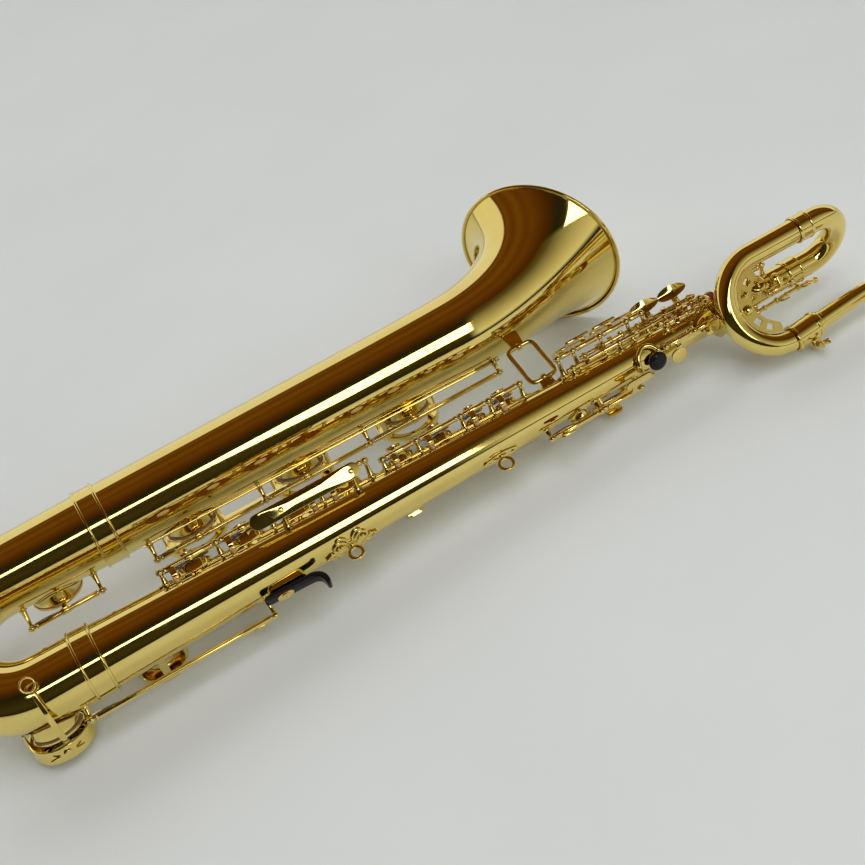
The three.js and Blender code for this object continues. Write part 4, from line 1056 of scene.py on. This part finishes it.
def make_collar():
    """Two discs on a sleeve, with felt between them."""
    r = body_radius(COLLAR_FROM) + GAP + 0.1
    low, high = COLLAR_FROM + 2, COLLAR_TO - 2
    discs = [(r, COLLAR_FROM), (COLLAR_R, COLLAR_FROM), (COLLAR_R, low), (r + 3.2, low + 0.2),
             (r + 3.2, high - 0.2), (COLLAR_R, high), (COLLAR_R, COLLAR_TO), (r, COLLAR_TO)]
    discs = soften_loop(discs, 0.5)
    emit_lacquered("body_collar_discs", [bent(discs, body_route, 112)], "body_collar")
    core, edge = r + 3.4, COLLAR_R - 1.0
    felt = soften_loop([(core, low + 0.4), (edge, low + 0.4), (edge, high - 0.4), (core, high - 0.4)], 0.8)
    emit("body_collar_felt", [bent(felt, body_route, 96)], FELT_RED)


# Scrollwork of the lower strap ring: one quarter of it, (along, across) from its middle.
SCROLLS = [
    [(3, 3), (6, 8.5), (11, 11.5), (16, 10), (18, 6), (15.5, 3.6), (13, 5.4), (14.2, 7.4)],
    [(5, 2), (10, 5.5), (16, 1.5), (21, 3.4), (25, 1.2), (27.5, 0.2)],
    [(2, 5), (3.5, 11), (8, 14.5), (12.5, 13.6), (13, 11.4)],
]


def draped(surface, below=math.inf):
    """Bend for a slab: lays what is below a height on the skin of the body tube."""
    def bend(v):
        out = v.copy()
        for i, (x, y, z) in enumerate(v):
            if z < below:
                out[i, 2] = z + math.sqrt(max(1.0, tube_radius("body", x) ** 2 - y * y)) - surface
        return out

    return bend


def strap_ring(node, x, base_length, ring_radius, wire_radius, ornate):
    surface = tube_radius("body", x)
    height = surface + 2 + ring_radius + wire_radius
    c, s = circle(48)
    ring_path = np.column_stack([x + ring_radius * c, np.zeros(48), height + ring_radius * s])
    shapes = [sweep(ring_path, np.stack(circle(16), 1) * wire_radius, closed=True)]
    half, lobes = base_length / 2, 0.16 if ornate else 0.06
    leaf = []
    for a in np.linspace(0, 2 * math.pi, 64, endpoint=False):
        width = 5.9 * abs(math.sin(a)) ** 0.85 * (1 + lobes * math.cos(4 * a))
        leaf.append((x + half * math.cos(a), math.copysign(width, math.sin(a))))
    drape = draped(surface)
    shapes.append(slab(leaf, surface - 0.3, surface + 1.7, 0.45, 0.5, drape))
    boss = soften([(0, 0), (4.4, 0), (4.2, 1.4), (2.9, 2.6), (2.7, 4.6), (0, 4.8)], 0.5)
    shapes.append(turned(boss, vec(x, 0, surface + 1.2), Z, 32))
    stud = [(0, 0), (2.0, 0), (1.9, 0.9), (1.2, 1.4), (0, 1.6)]
    for side in (-1, 1):
        shapes.append(turned(stud, vec(x + side * half * 0.66, 0, surface + 1.6), Z, 24))
        for hand in (-1, 1) if ornate else ():
            for scroll in SCROLLS:
                verts, faces = wire([(x + side * u, hand * v, surface + 1.5) for u, v in scroll], 1.25, 8)
                shapes.append((drape(verts), faces))
    emit_lacquered(node + "_leaf", shapes, node, at=("body", BACK))


def make_thumb_rest():
    x, at = 625, ("body", THUMB_SIDE)
    surface = tube_radius("body", x)
    dome = soften([(0, 0), (5, 0), (5, 6.0), (8.6, 6.4), (10, 7.4), (10, 9), (9.2, 10.4), (6.6, 11.8),
                   (3, 12.4), (0, 12.5)], 0.6)
    emit("thumb_rest_dome", [turned(dome, vec(x, 0, surface - 3), Z, 64)], BLACK, ROOT, ["thumb_rest"],
         at)
    foot = soften([(0, 0), (7.5, 0), (7.4, 1.0), (5.6, 2.2), (0, 2.2)], 0.4)
    emit_lacquered("thumb_rest_foot", [turned(foot, vec(x, 0, surface - 0.4), Z, 48)], at=at)


HOOK_X = 197.0


def make_thumb_hook():
    surface, at = tube_radius("body", HOOK_X), ("body", BACK)
    base = outline_rounded(40, 16, 7.9)
    base[:, 0] += HOOK_X
    plate = slab(base, surface - 0.4, surface + 4 - 0.1, 0.5, 0.0, draped(surface, surface + 2))
    emit_lacquered("thumb_hook_base", [plate], "thumb_hook_plate", at=at)
    bottom = surface + 4 + GAP
    centre_line = [(-29, 3.0), (-22, 3.3), (-10, 3.7), (4, 4.1), (16, 4.4), (23, 5.2), (28.4, 8.4),
                   (30.6, 13.2), (31, 18.4), (29.6, 21.6)]
    path = spline([(HOOK_X + 3 + a, 0, bottom + b) for a, b in centre_line], 8)
    n, width, depth = len(path), 14, 7.4
    t = np.linspace(0, 1, n)
    wide = width - 2.5 * np.sin(np.pi * np.clip(t * 1.2, 0, 1))
    wide = wide - 3.5 * np.clip((t - 0.85) / 0.15, 0, 1) ** 2
    thick = np.interp(t, [0, 0.1, 0.5, 0.8, 1], [3.4, 5.6, depth, 6.0, 3.4])
    ends = np.ones(n)
    ends[:4] = [0.45, 0.75, 0.9, 0.97]
    ends[-4:] = [0.95, 0.86, 0.7, 0.4]
    scale = np.stack([wide / width * ends, thick / depth * ends], 1)
    hook = sweep(path, section(width, 7.0, 2.6, 6), Y, scale)
    emit("thumb_hook_body", [hook], BLACK, "thumb_hook", ["thumb_hook"], at)
    seat = (HOOK_X - 6, 0, bottom + 7.0)
    oval = outline_rounded(17, 10, 4.9)
    oval[:, 0] += HOOK_X - 6
    washer = slab(oval, bottom + 5.6, bottom + 7.3, 0.4, 0.2)
    emit("thumb_hook_screw", [screw_head(seat, Z, 4.2, 1.6, 36), washer], KEY_BRASS, "thumb_hook",
         at=at)
    # The screw slot is a thin dark sheet laid on the head, not a cut: painted shade standing in for the
    # shaded groove.
    emit("thumb_hook_slot_painted_shade", [slot_line(seat, Z, 4.2, 1.6)], FELT_DARK, "thumb_hook", at=at)


def make_clothes_guard():
    x, height, tilt = 250.0, 49.0, math.radians(55)
    half, rolled = 58.0, 14.0

    def curl(v):
        """The lower end is rolled down towards the tube."""
        out = v.copy()
        out[:, 2] -= 4.0 * (np.clip((x - half + rolled - v[:, 0]) / rolled, 0, 1)) ** 2
        return out

    outline = outline_rounded(2 * half, 16, 7.9, 14)
    outline += vec(x, 0)
    plate = moved(slab(outline, 0, 2.6, 0.6, 0.9, curl), spin(X, tilt), (0, 0, height))
    shapes = [plate]
    screw = soften([(0, 0), (2.9, 0), (2.7, 1.1), (1.7, 1.8), (0, 2.0)], 0.25)
    for at in (224, 299):
        foot = body_radius(at)
        shapes.append(turned([(0, foot - 1), (4.6, foot - 1), (4.6, foot + 0.6), (3.4, foot + 1.8),
                              (2.4, foot + 3.2), (2.2, height - 4), (3.6, height - 1.6),
                              (3.6, height + 0.3), (0, height + 0.3)],
                             vec(at, 0, 0), Z, 28))
        shapes.append(moved(turned(screw, vec(at, 0, 2.9), Z, 28), spin(X, tilt), (0, 0, height)))
    emit_lacquered("clothes_guard_plate", shapes, "clothes_guard", at=("body", GUARD_SIDE))


def guard_height(k):
    cup = k["hole"] + CUP_EDGE
    lift = (abs(k["hinge"][0]) + cup) * math.sin(math.radians(k["travel"]))
    return hole_top(k) + CUP_HEIGHT + lift + 3.2


GUARD_LEG_FLOOR = {"body": 12, "bell": 24}


def guard_leg(k, angle, r, height):
    """Leg of a guard, and the pad at its foot where that stands on the tube."""
    a = math.radians(angle)
    px, py = k["x"] + math.cos(a) * (r + 0.3), math.sin(a) * (r + 0.3)

    def skin(x, y):
        return surface_z(k["tube"], k["theta"], x, y)

    floor = GUARD_LEG_FLOOR[k["tube"]]
    foot = max(skin(px, py), floor)
    path = [(px, py, height + 2), (px, py, mix(foot, height, 0.55)), (px, py, foot - 0.5)]
    shapes = [flexed(path, 7, 8.5, 2.2, vec(-math.sin(a), math.cos(a), 0), 0.7)]
    if foot > floor:
        turn_flat = spin(Z, a + math.pi / 2)[:2, :2]
        pad = outline_rounded(11, 9, 4.4) @ turn_flat.T + vec(px, py)

        def lay(v):
            return v + np.outer([skin(x, y) for x, y, z in v], Z)

        shapes.append(slab(pad, -0.3, 1.1, 0.35, 0.0, lay))
    return shapes


def skirt_trim(x, y, z):
    """Button and two bars on the deep skirt of the low C guard."""
    button = soften([(0, 0), (4.6, 0), (4.6, 1.4), (3.4, 2.4), (2.4, 2.6), (0, 2.2)], 0.4)
    bars = [bar((x + a, y, z), (x + b, y, z), 1.6, 2.4, Z, 0.5) for a, b in ((-17, -8), (8, 17))]
    return [turned(button, vec(x, y, z), Y, 36), *bars]


def guard_shapes(k, legs):
    """Cage, felt and screw over a key cup."""
    height = guard_height(k)
    x, r = k["x"], k["hole"] + CUP_EDGE + 4
    deep = k["name"] == "key_low_c"
    skirt = -12 if deep else -3
    band = soften_loop([(r - 0.6, skirt), (r + 1.6, skirt), (r + 1.6, 3), (r - 11, 3), (r - 11, 1.0),
                        (r - 0.6, 1.0)], 0.6)
    hub = soften([(0, -1.2), (6, -1.2), (6, 2.6), (4.2, 3.4), (0, 3.4)], 0.5)
    brass = [turned(band, vec(x, 0, height), Z, 96),
             bar((x - r + 8, 0, height + 1.9), (x + r - 8, 0, height + 1.9), 12, 2.2, Y, 0.7),
             turned(hub, vec(x, 0, height + 0.8), Z, 40)]
    if deep:
        brass += skirt_trim(x, r + 1.2, height - 4.5)
    for angle in legs:
        brass += guard_leg(k, angle, r, height)
    felt = turned(soften([(0, -3.4), (5.2, -3.4), (5.2, 0), (0, 0)], 0.8), vec(x, 0, height), Z, 32)
    return brass, felt, screw_head((x, 0, height + 4.1), Z, 3.2, 1.0, 28)


def make_guard_loop():
    """Wire loop on a strip that runs from the low C guard round the front of the bow."""
    around = [(118, 38.5), (132, 38.5), (148, 39.5), (165, 42), (182, 46), (196, 51)]
    path = [spin(X, math.radians(a)) @ vec(-46 + 0.5 * i, r, 0) for i, (a, r) in enumerate(around)]
    reach, thick = 6.6, 1.0
    hoop = [(reach + thick * math.cos(t), thick * math.sin(t))
            for t in np.linspace(0, 2 * math.pi, 14, endpoint=False)]
    facing, centre = unit(vec(0.06, -0.5, 0.866)), vec(-46.5, -12.5, 40.5)
    leaning = unit(facing + X * 0.16)
    shapes = [turned(hoop, centre, facing, 56), turned(hoop, centre + facing * 2.1, leaning, 56),
              flexed(path, 3.8, 6.5, 1.8)]
    emit("low_c_guard_loop", shapes, LACQUER)


GUARDS = [
    ("low_c_guard", ["key_low_c"], (322, 180, 250)),
    ("low_e_flat_guard", ["key_low_e_flat"], (28, 90, 152)),
    ("bell_key_guard", ["key_low_b", "key_low_b_flat"], (28, 180, 332)),
    ("low_a_guard", ["key_low_a"], (0, 152, 208)),
]


def make_guards():
    for node, names, legs in GUARDS:
        keys = [KEYS[name] for name in names]
        cages, felts, screws = zip(*[guard_shapes(k, legs) for k in keys])
        brass = [shape for cage in cages for shape in cage]
        if len(keys) == 2:
            a, b = keys
            brass.append(bar((a["x"] + a["hole"] + 2, 0, guard_height(a) + 1.6),
                             (b["x"] - b["hole"] - 2, 0, guard_height(b) + 1.6), 12, 2.6, Y, 0.8))
        at = (keys[0]["tube"], keys[0]["theta"])
        emit_lacquered(node + "_cage", brass, node, at=at)
        emit(node + "_felt", felts, FELT_DARK, at=at)
        emit(node + "_screws", screws, KEY_BRASS, at=at)


# ---------------------------------------------------------------- ribs, their posts and rods
RIBS = [
    ("lower_stack_rib", "body", STACK_SIDE, LOWER, (100, 158, 213, 266, 318)),
    ("upper_stack_rib", "body", STACK_SIDE, UPPER, (334, 372, 422, 454, 490)),
    ("table_rib", "body", TABLE_SIDE, TABLE_HINGE, (536, 554, 586, 618, 636)),
    ("low_e_flat_rib", "body", LOW_E_FLAT_SIDE, LOW_E_FLAT_HINGE, (32, 180)),
    ("bell_rib", "bell", BELL_SIDE, BELLS, (104, 225, 345, 500)),
]


def rib_strip(tube_name, y, z, a, b, count=24):
    """Strip soldered along a tube under a hinge line."""
    d = unit(vec(0, y, z))
    start, stop = [d * (tube_radius(tube_name, x) + 0.2) + X * x for x in (a, b)]
    path = [mix(start, stop, u) for u in np.linspace(0, 1, count + 1)]
    grow = [(0.55, 0.8), *[(1, 1)] * (count - 1), (0.55, 0.8)]
    return sweep(path, section(8, 2.6, 0.9), np.cross(d, X), grow)


def make_ribs():
    rods = []
    for node, tube_name, theta, (y, z), places in RIBS:
        first, last = places[0], places[-1]
        shapes = [rib_strip(tube_name, y, z, first - 7, last + 7)]
        shapes += [post_shapes(tube_name, x, y, z, tube_radius(tube_name, x) + 1.2) for x in places]
        emit_lacquered(node + "_strip", shapes, node, at=(tube_name, theta))
        line = [rod((first, y, z), (last, y, z), 1.5, 18), *slotted_screw(first, y, z, -X),
                *slotted_screw(last, y, z, X)]
        rods += [in_key_frame(tube_name, theta, s) for s in line]
    spans = [row for row in (*BODY_POSTS, *BOW_POSTS) if len(row[3]) > 1]
    for tube_name, theta, (y, z), places in [*spans, ("body", LOW_C_SIDE, LOW_C_HINGE, (-16, 174))]:
        rods.append(in_key_frame(tube_name, theta, rod((places[0], y, z), (places[-1], y, z), 1.4, 16)))
    emit("hinge_rods", rods, STEEL)


# ---------------------------------------------------------------- moving keys
def arm_shapes(k):
    """Tapered strap from the hinge tube over the cup, ending in a point on the cup."""
    side = -1 if k["hinge"][0] < 0 else 1
    hy, hz = k["hinge"]
    top = hole_top(k) + GAP + CUP_HEIGHT
    ax = k["arm_x"]
    if ax != k["x"]:
        across = [(ax, hy, hz + 1.6), (ax, hy * 0.55, max(hz, top) + 0.6), (ax, 0, top + 0.9)]
        along = [(ax + 3, 0, top + 0.9), (mix(ax, k["x"], 0.5), 0, top + 1.0), (k["x"], 0, top + 0.4),
                 (k["x"] - k["hole"] * 0.5, 0, top - 0.2)]
        return [flexed(across, 6, 5, 3.0), flexed(along, 6, 3.4, 2.6, Y)]
    cup = k["hole"] + CUP_EDGE
    tip = -side * cup * 0.5
    path = [(ax, hy, hz + 1.2), (ax, hy - side * 3.2, max(hz + 1.4, top - 0.6)),
            (ax, side * cup * 0.45, top + 0.3), (ax, 0, top + 0.5), (ax, tip, top - 0.25)]
    width = 7.0 if cup > 15 else 5.6
    shapes = [flexed(path, width, 2.6, 2.6)]
    ridge = [(ax, hy - side * 2.0, hz + 2.6), (ax, side * cup * 0.45, top + 1.4), (ax, 0, top + 1.5),
             (ax, tip * 0.7, top + 0.6)]
    shapes.append(flexed(ridge, 2.0, 1.2, 1.6, X, 0.7))
    if abs(hy) > 20:
        shapes.append(bar((ax - 4.5, hy, hz), (ax + 4.5, hy, hz), 6.6, 6.4, Y, 3.0))
    return shapes


def touch_shapes(k, x, y, z, length, width):
    """Finger plate on an arm from the hinge tube."""
    outline = outline_rounded(length, width, min(length, width) / 2 - 0.1)
    outline += vec(x, y)
    hy, hz = k["hinge"]
    arm = [(x, hy, hz), (x, mix(hy, y, 0.5), mix(hz, z, 0.5) + 0.8), (x, y, z + 0.6)]
    return [slab(outline, z, z + 2.2, 0.5, 0.9), flexed(arm, 6.4, 5, 2.8)]


def leaf_touch(k, x, y, z, length, width):
    """Palm touch: a long leaf, tilted towards the hand and curled up at its tip."""
    outline = []
    for a in np.linspace(0, 2 * math.pi, 56, endpoint=False):
        swell = 0.62 + 0.38 * math.cos(a * 0.5) ** 2
        outline.append((-length / 2 * math.cos(a), math.sin(a) * width / 2 * swell))

    def curl(v):
        out = v.copy()
        u = v[:, 0] / (length / 2)
        out[:, 2] += 3.2 * u * u - 1.4 * u - 0.035 * v[:, 1] ** 2
        return out

    lean = math.radians(48) * (-1 if y < 0 else 1)
    leaf = moved(slab(outline, 0, 2.0, 0.55, 0.5, curl), spin(X, lean), (x, y, z))
    hy, hz = k["hinge"]
    middle = (x, mix(hy, y, 0.55), max(hz, z) + 1.0)
    return [leaf, flexed([(x, hy, hz), middle, (x, y, z + 0.4)], 7.5, 6.5, 3.0)]


def foot_shapes(k):
    """Foot of a stack key, which rests on the tube through its cork while the key stands open."""
    hy, hz = k["hinge"]
    at_guard_post = k["name"] == "key_f"
    x = k["barrel"][1] - 7 if at_guard_post else k["barrel"][0] + 7
    d = unit(vec(0, hy, hz))
    out = np.cross(X, d) * (1 if hy < 0 else -1)
    ground = tube_radius(k["tube"], x)
    top = vec(x, hy, hz) + out * 1.5
    knee = d * (ground + 7.5) + out * 8.5 + X * x
    toe = d * (ground + 4.4) + out * 8.2 + X * x
    strap = flexed([top, mix(top, knee, 0.55) + out * 1.5, knee, toe], 6.5, 6.0, 2.2)
    cork = turned(soften([(0, 0), (2.9, 0), (2.9, 3.0), (0, 3.0)], 0.3), toe - d * 3.2 + out * 0.2, d, 24)
    return strap, cork


def spring_shape(k):
    """Needle spring from a post to a hook on the hinge tube."""
    y, z = k["hinge"]
    x0, x1 = k["barrel"]
    post, hook = x0 - 2, x0 + min(26, (x1 - x0) * 0.6)
    return wire([(post, y, z - 3.0), (mix(post, hook, 0.5), y, z - 3.5), (hook, y, z - 2.4)], 0.45, 8, n=8)


# Touches of the keys in their key frames: place (x, y, z), length and width.
TOUCHES = {
    "key_side_b_flat": (346, 19, 37, 20, 12), "key_side_c": (506, 28, 27, 18, 10),
    "key_high_e": (570, 27, 25, 18, 10), "key_palm_d": (650, -28, 31, 33, 15),
    "key_palm_e_flat": (684.5, -28, 31, 32, 15), "key_palm_f": (742, 27, 27, 30, 13),
    "key_low_e_flat": (150, -40, 41, 24, 12), "key_low_c": (158, 2, 46, 20, 14),
}
# Radii of the finger pearls.
PEARLS = {"key_d": 8, "key_e": 8, "key_f": 8, "key_g": 8, "key_a": 8, "key_b": 8, "key_bis": 5.5}


def make_key(k):
    """Hinge tube, arm, cup and touch in one piece, and what the key carries."""
    name, x = k["name"], k["x"]
    cup = k["hole"] + CUP_EDGE
    low = hole_top(k) + GAP
    brass = [*barrel_shapes(*k["barrel"], *k["hinge"]), cup_shape(x, low, cup), *arm_shapes(k)]
    extras = [("pad", pad_shape(x, low, cup), PAD)]
    if k["stands"] == OPEN:
        extras.append(("resonator", resonator(x, low, cup), KEY_BRASS))
    if name in TOUCHES:
        touch = leaf_touch if "palm" in name else touch_shapes
        brass += touch(k, *TOUCHES[name])
    if k["hinge"] in (LOWER, UPPER):
        strap, cork = foot_shapes(k)
        brass.append(strap)
        extras.append(("foot_cork", cork, CORK))
    if name in PEARLS:
        z = low + CUP_HEIGHT + 1.2
        brass.append(pearl_holder(x, 0, z, PEARLS[name]))
        extras.append(("pearl", pearl_disc(x, 0, z, PEARLS[name]), PEARL))
    emit_keywork(name + "_brass", [on_key(k, shape) for shape in brass], name)
    for suffix, shape, material in extras:
        emit(f"{name}_{suffix}", [on_key(k, shape)], material, name)


def make_keys():
    for k in KEYS.values():
        make_key(k)
    springs = [in_key_frame(k["tube"], k["theta"], spring_shape(k)) for k in KEYS.values()]
    emit("needle_springs", springs, BLUED)


def make_octave_rod():
    """Link of the octave work, past the collar and up to the vent on the upper bow."""
    route = [(728, 0, 17.5), (745, 1, 19.5), (760, 2, 20), (776, 2, 19.5), (790, 0, 18.5), (806, -2, 18),
             (820, -5, 18.5), (832, -11, 19)]
    joints = ((0, 3.4), (2, 3.0), (3, 3.4), (4, 2.9), (5, 3.6), (6, 3.0), (7, 3.6))
    foot = [(0, 12), (2.6, 12), (1.7, 14), (1.7, 17), (2.6, 19), (0, 20)]
    shapes = [wire(route, 2.1, 8), *[ball(route[i], r, 24) for i, r in joints],
              flexed([(776, 2, 20), (781, 4.5, 23), (788, 6, 24)], 5.4, 6.4, 2.2, Y),
              flexed([(806, -2, 18.5), (811, 1.5, 21), (818, 3, 21.5)], 5.4, 6.0, 2.2, Y),
              post_shapes("body", 752, 0, 20.5), turned(foot, vec(806, 0, 0), Z, 20)]
    emit("octave_link", shapes, KEY_BRASS, at=("body", LINK_SIDE))


def make_octave_strap():
    """Curved strap round the thumb rest."""
    strap = [(629, -14.5, 17.5), (624, -8, 20.6), (616, -6, 21.2), (608, -11, 19.0), (604.5, -18, 12.5),
             (606.5, -21.8, 3.5), (611, -22.4, -4), (618, -21, -9)]
    ends = [ball(strap[i], 3.2, 24) for i in (0, -1)]
    emit("octave_strap", [wire(strap, 2.7, 8, n=24), *ends], KEY_BRASS)


# Long rods beside the left hand table: (theta, height over the axis, from, to, post places, arm places).
LINKS = [
    (66, 26.5, 538, 702, (545, 600, 655, 698), (562, 580, 622, 640, 672, 688)),
    (36, 27.5, 560, 700, (566, 630, 694), (584, 598, 612, 648, 664, 680)),
    (84, 24.5, 648, 704, (652, 700), (664, 676, 688)),
]


def make_links():
    """Rods, collars and small arms of the octave and palm work, packed beside the table."""
    collar = soften([(0, 0), (3.1, 0), (3.1, 3.4), (0, 3.4)], 0.4)
    cork = soften([(0, 0), (2.5, 0), (2.5, 1.8), (0, 1.8)], 0.25)
    button = soften([(0, 0), (2.6, 0), (2.6, 1.6), (1.8, 2.4), (0, 2.4)], 0.3)
    shapes, corks = [], []
    for theta, z, a, b, posts, arms in LINKS:
        line = [rod((a, 0, z), (b, 0, z), 2.1, 22)]
        line += [post_shapes("body", x, 0, z) for x in posts]
        for i, x in enumerate(arms):
            line.append(turned(collar, vec(x - 1.7, 0, z), X, 24))
            hand = 1 if i % 2 else -1
            tip = vec(x + 4 * hand, hand * 7.5, z + 2.2)
            middle = (x + 1.5 * hand, hand * 3.8, z + 3.4)
            line.append(flexed([(x, 0, z + 1.2), middle, tip], 4.6, 5.4, 2.0))
            if i % 3 == 1:
                corks.append(in_key_frame("body", theta, turned(cork, tip - Z * 2.7, Z, 22)))
            if i % 3 == 2:
                line.append(turned(button, tip + Z * 0.6, Z, 24))
        shapes += [in_key_frame("body", theta, shape) for shape in line]
    emit("octave_work", shapes, KEY_BRASS)
    emit("octave_work_felts", corks, FELT_RED)


# Levers of the left hand table: (node, hinge tube from, to, arm, plate x, y, length, width).
LEVERS = [
    ("b_lever", 540, 550, 545, 564, 11, 40, 13), ("g_sharp_lever", 558, 582, 570, 570, -4.5, 28, 10.5),
    ("c_sharp_lever", 590, 614, 602, 602, -4.5, 28, 10.5), ("b_flat_lever", 622, 632, 627, 608, 11, 40, 13),
]
TABLE_TOP = 45.0


def lever_shapes(barrel, hinge, arm, widths, plate, corner, centre, bottom, thick, dome):
    """Hinge tube, arm and finger plate."""
    outline = outline_rounded(*plate, corner)
    outline += vec(*centre)
    return [*barrel_shapes(*barrel, *hinge), slab(outline, bottom, bottom + thick, 0.6, dome),
            flexed(arm, *widths)]


def make_levers():
    y, z = TABLE_HINGE
    for name, x0, x1, arm_x, px, py, length, width in LEVERS:
        arm = [(arm_x, y, z + 1), (arm_x, mix(y, py, 0.4), TABLE_TOP - 2), (arm_x, py, TABLE_TOP + 0.8)]
        shapes = lever_shapes((x0, x1), TABLE_HINGE, arm, (6.4, 5.5, 2.8), (length, width), 2.8, (px, py),
                              TABLE_TOP, 2.4, 0.5)
        emit_keywork(name + "_plate", shapes, name, ("body", TABLE_SIDE))
    octave = lever_shapes((642, 668), OCTAVE_HINGE, [(650, 10, 23.5), (650, 3, 25.6), (650, -4, 26)],
                          (7, 6, 2.6), (18, 16), 7.9, (648, -4), 25, 2.2, 0.8)
    emit_keywork("octave_lever_touch", octave, "octave_lever", ("body", THUMB_SIDE))
    low_a = lever_shapes((560, 596), LOW_A_HINGE, [(590, -9, 29), (590, 0, 30.5), (590, 6, 30)],
                         (6, 5, 2.6), (30, 12), 5.9, (596, 8), 28.6, 2.2, 0.8)
    emit_keywork("low_a_lever_touch", low_a, "low_a_lever", ("body", BACK))


# ---------------------------------------------------------------- studio
CAMERA_AT = vec(107.99, -694.14, 1136.74)
CAMERA_RIGHT = vec(0.85583, -0.50565, -0.10895)
CAMERA_DOWN = vec(-0.47319, -0.68029, -0.55973)
CAMERA_FORWARD = vec(0.20891, 0.53058, -0.82148)
LENS = 58.04


def make_camera():
    cam = bpy.data.cameras.new("camera")
    cam.lens = LENS
    cam.sensor_width = 36.0
    cam.clip_start, cam.clip_end = 0.02, 60
    obj = placed("camera", cam)
    matrix = Matrix.Identity(4)
    for col, axis in enumerate((CAMERA_RIGHT, -CAMERA_DOWN, -CAMERA_FORWARD)):
        for row, value in enumerate(LYING @ axis):
            matrix[row][col] = value
    matrix.translation = Vector(to_world(CAMERA_AT))
    obj.matrix_world = matrix
    bpy.context.scene.camera = obj


def soft_light(name, at, target, size, power):
    """A big diffuser that lights matt surfaces; the polished ones mirror only the room."""
    light = bpy.data.lights.new(name, "AREA")
    light.shape = "RECTANGLE"
    light.size, light.size_y = size
    light.energy = power
    obj = placed(name, light)
    obj.location = at
    obj.rotation_euler = (Vector(target) - Vector(at)).to_track_quat("-Z", "Y").to_euler()
    obj.visible_glossy = False


# The room as bands around the X axis: (degrees from +Y over the top, colour).
PAPER = (0.80, 0.80, 0.77)
CEILING = (0.110, 0.041, 0.0045)
PLANK = (0.155, 0.066, 0.008)
GLOOM = (0.016, 0.016, 0.007)
OVERHEAD = [(-180, GLOOM), (-90, PAPER), (-10, PAPER), (44, PAPER), (46, (0.09, 0.03, 0.003)), (52, PLANK),
            (62, CEILING), (74, PLANK), (84, CEILING), (92, (0.13, 0.05, 0.006)),
            (112, (0.065, 0.022, 0.003))]
FRONT_DARK = [(126, GLOOM), (164, (0.045, 0.036, 0.012)), (180, GLOOM)]
FRONT_PALE = [(124, (0.10, 0.085, 0.04)), (150, (0.45, 0.43, 0.33)), (172, (0.72, 0.71, 0.66)),
              (178, GLOOM)]
# Where the front turns from dark to pale, across the room (-1 to 1), and the window in it.
DARK_TO_PALE = (0.27, 0.33)
WINDOW_FROM = 136
WINDOW_TO = (142, 158)
WINDOW_TAPER = (0.04, 0.17)
WINDOW_ACROSS = (-0.25, 0.30)
WINDOW_POWER = 4.0


def make_room():
    world = bpy.data.worlds.new("studio")
    bpy.context.scene.world = world
    world.use_nodes = True
    look = Look(world.node_tree)
    split = look.nodes.new("ShaderNodeSeparateXYZ")
    look.feed(split.inputs["Vector"], look.node("TexCoord", "Generated"))
    across = split.outputs["X"]
    angle = look.math("ARCTAN2", split.outputs["Z"], split.outputs["Y"])
    place = look.spread(angle, 0, 1, (-math.pi, math.pi))
    dark, pale = [look.ramp(place, [((deg + 180) / 360, colour) for deg, colour in OVERHEAD + front])
                  for front in (FRONT_DARK, FRONT_PALE)]
    room = look.mixed(look.spread(across, 0, 1, DARK_TO_PALE), dark, pale)
    top = look.spread(across, *[math.radians(d) for d in WINDOW_TO], WINDOW_TAPER)
    edges = [("GREATER_THAN", angle, math.radians(WINDOW_FROM)), ("LESS_THAN", angle, top),
             ("GREATER_THAN", across, WINDOW_ACROSS[0]), ("LESS_THAN", across, WINDOW_ACROSS[1])]
    mask = 1.0
    for edge in edges:
        mask = look.math("MULTIPLY", mask, look.math(*edge))
    background = look.nodes["Background"]
    look.feed(background.inputs["Color"], look.mixed(mask, room, (WINDOW_POWER,) * 3 + (1,)))
    background.inputs["Strength"].default_value = 1.0


FLOOR_SIZE, FLOOR_CELLS = 6.0, 24


def make_floor():
    m, look, shader, v = new_material("pale_floor", Roughness=0.6, Specular_IOR_Level=0.2)
    tones = [(0.3, (0.735, 0.795, 0.81)), (0.7, (0.765, 0.825, 0.842))]
    look.feed(shader.inputs["Base Color"], look.ramp(look.noise(v, 3.0), tones))
    line = np.linspace(-FLOOR_SIZE, FLOOR_SIZE, FLOOR_CELLS + 1)
    verts = [(x, y, 0) for x in line for y in line]
    row = FLOOR_CELLS + 1
    corners = [i * row + j for i in range(FLOOR_CELLS) for j in range(FLOOR_CELLS)]
    mesh = bpy.data.meshes.new("floor")
    mesh.from_pydata(verts, [], [(c, c + row, c + row + 1, c + 1) for c in corners])
    mesh.materials.append(m)
    placed("floor", mesh)


def make_studio():
    make_floor()
    bpy.context.scene.view_settings.view_transform = "Standard"
    make_room()
    soft_light("top_light", (0.3, -0.6, 3.0), (0.0, 0.0, 0.0), (3.0, 2.4), 40)
    soft_light("back_light", (-0.6, 2.6, 2.2), (0.0, 0.2, 0.0), (3.0, 1.6), 24)
    soft_light("front_light", (0.6, -2.6, 2.0), (0.0, -0.2, 0.0), (3.0, 1.6), 18.5)


make_camera()
make_studio()
make_tubes()
make_sleeves()
make_receiver()
make_neck()
make_bell_brace()
make_crook_brace()
make_collar()
strap_ring("upper_strap_ring", 438, 40, 6.9, 1.8, False)
strap_ring("lower_strap_ring", 268, 48, 6.5, 1.8, True)
make_thumb_rest()
make_thumb_hook()
make_clothes_guard()
make_guards()
make_guard_loop()
make_ribs()
make_keys()
make_octave_rod()
make_octave_strap()
make_links()
make_levers()
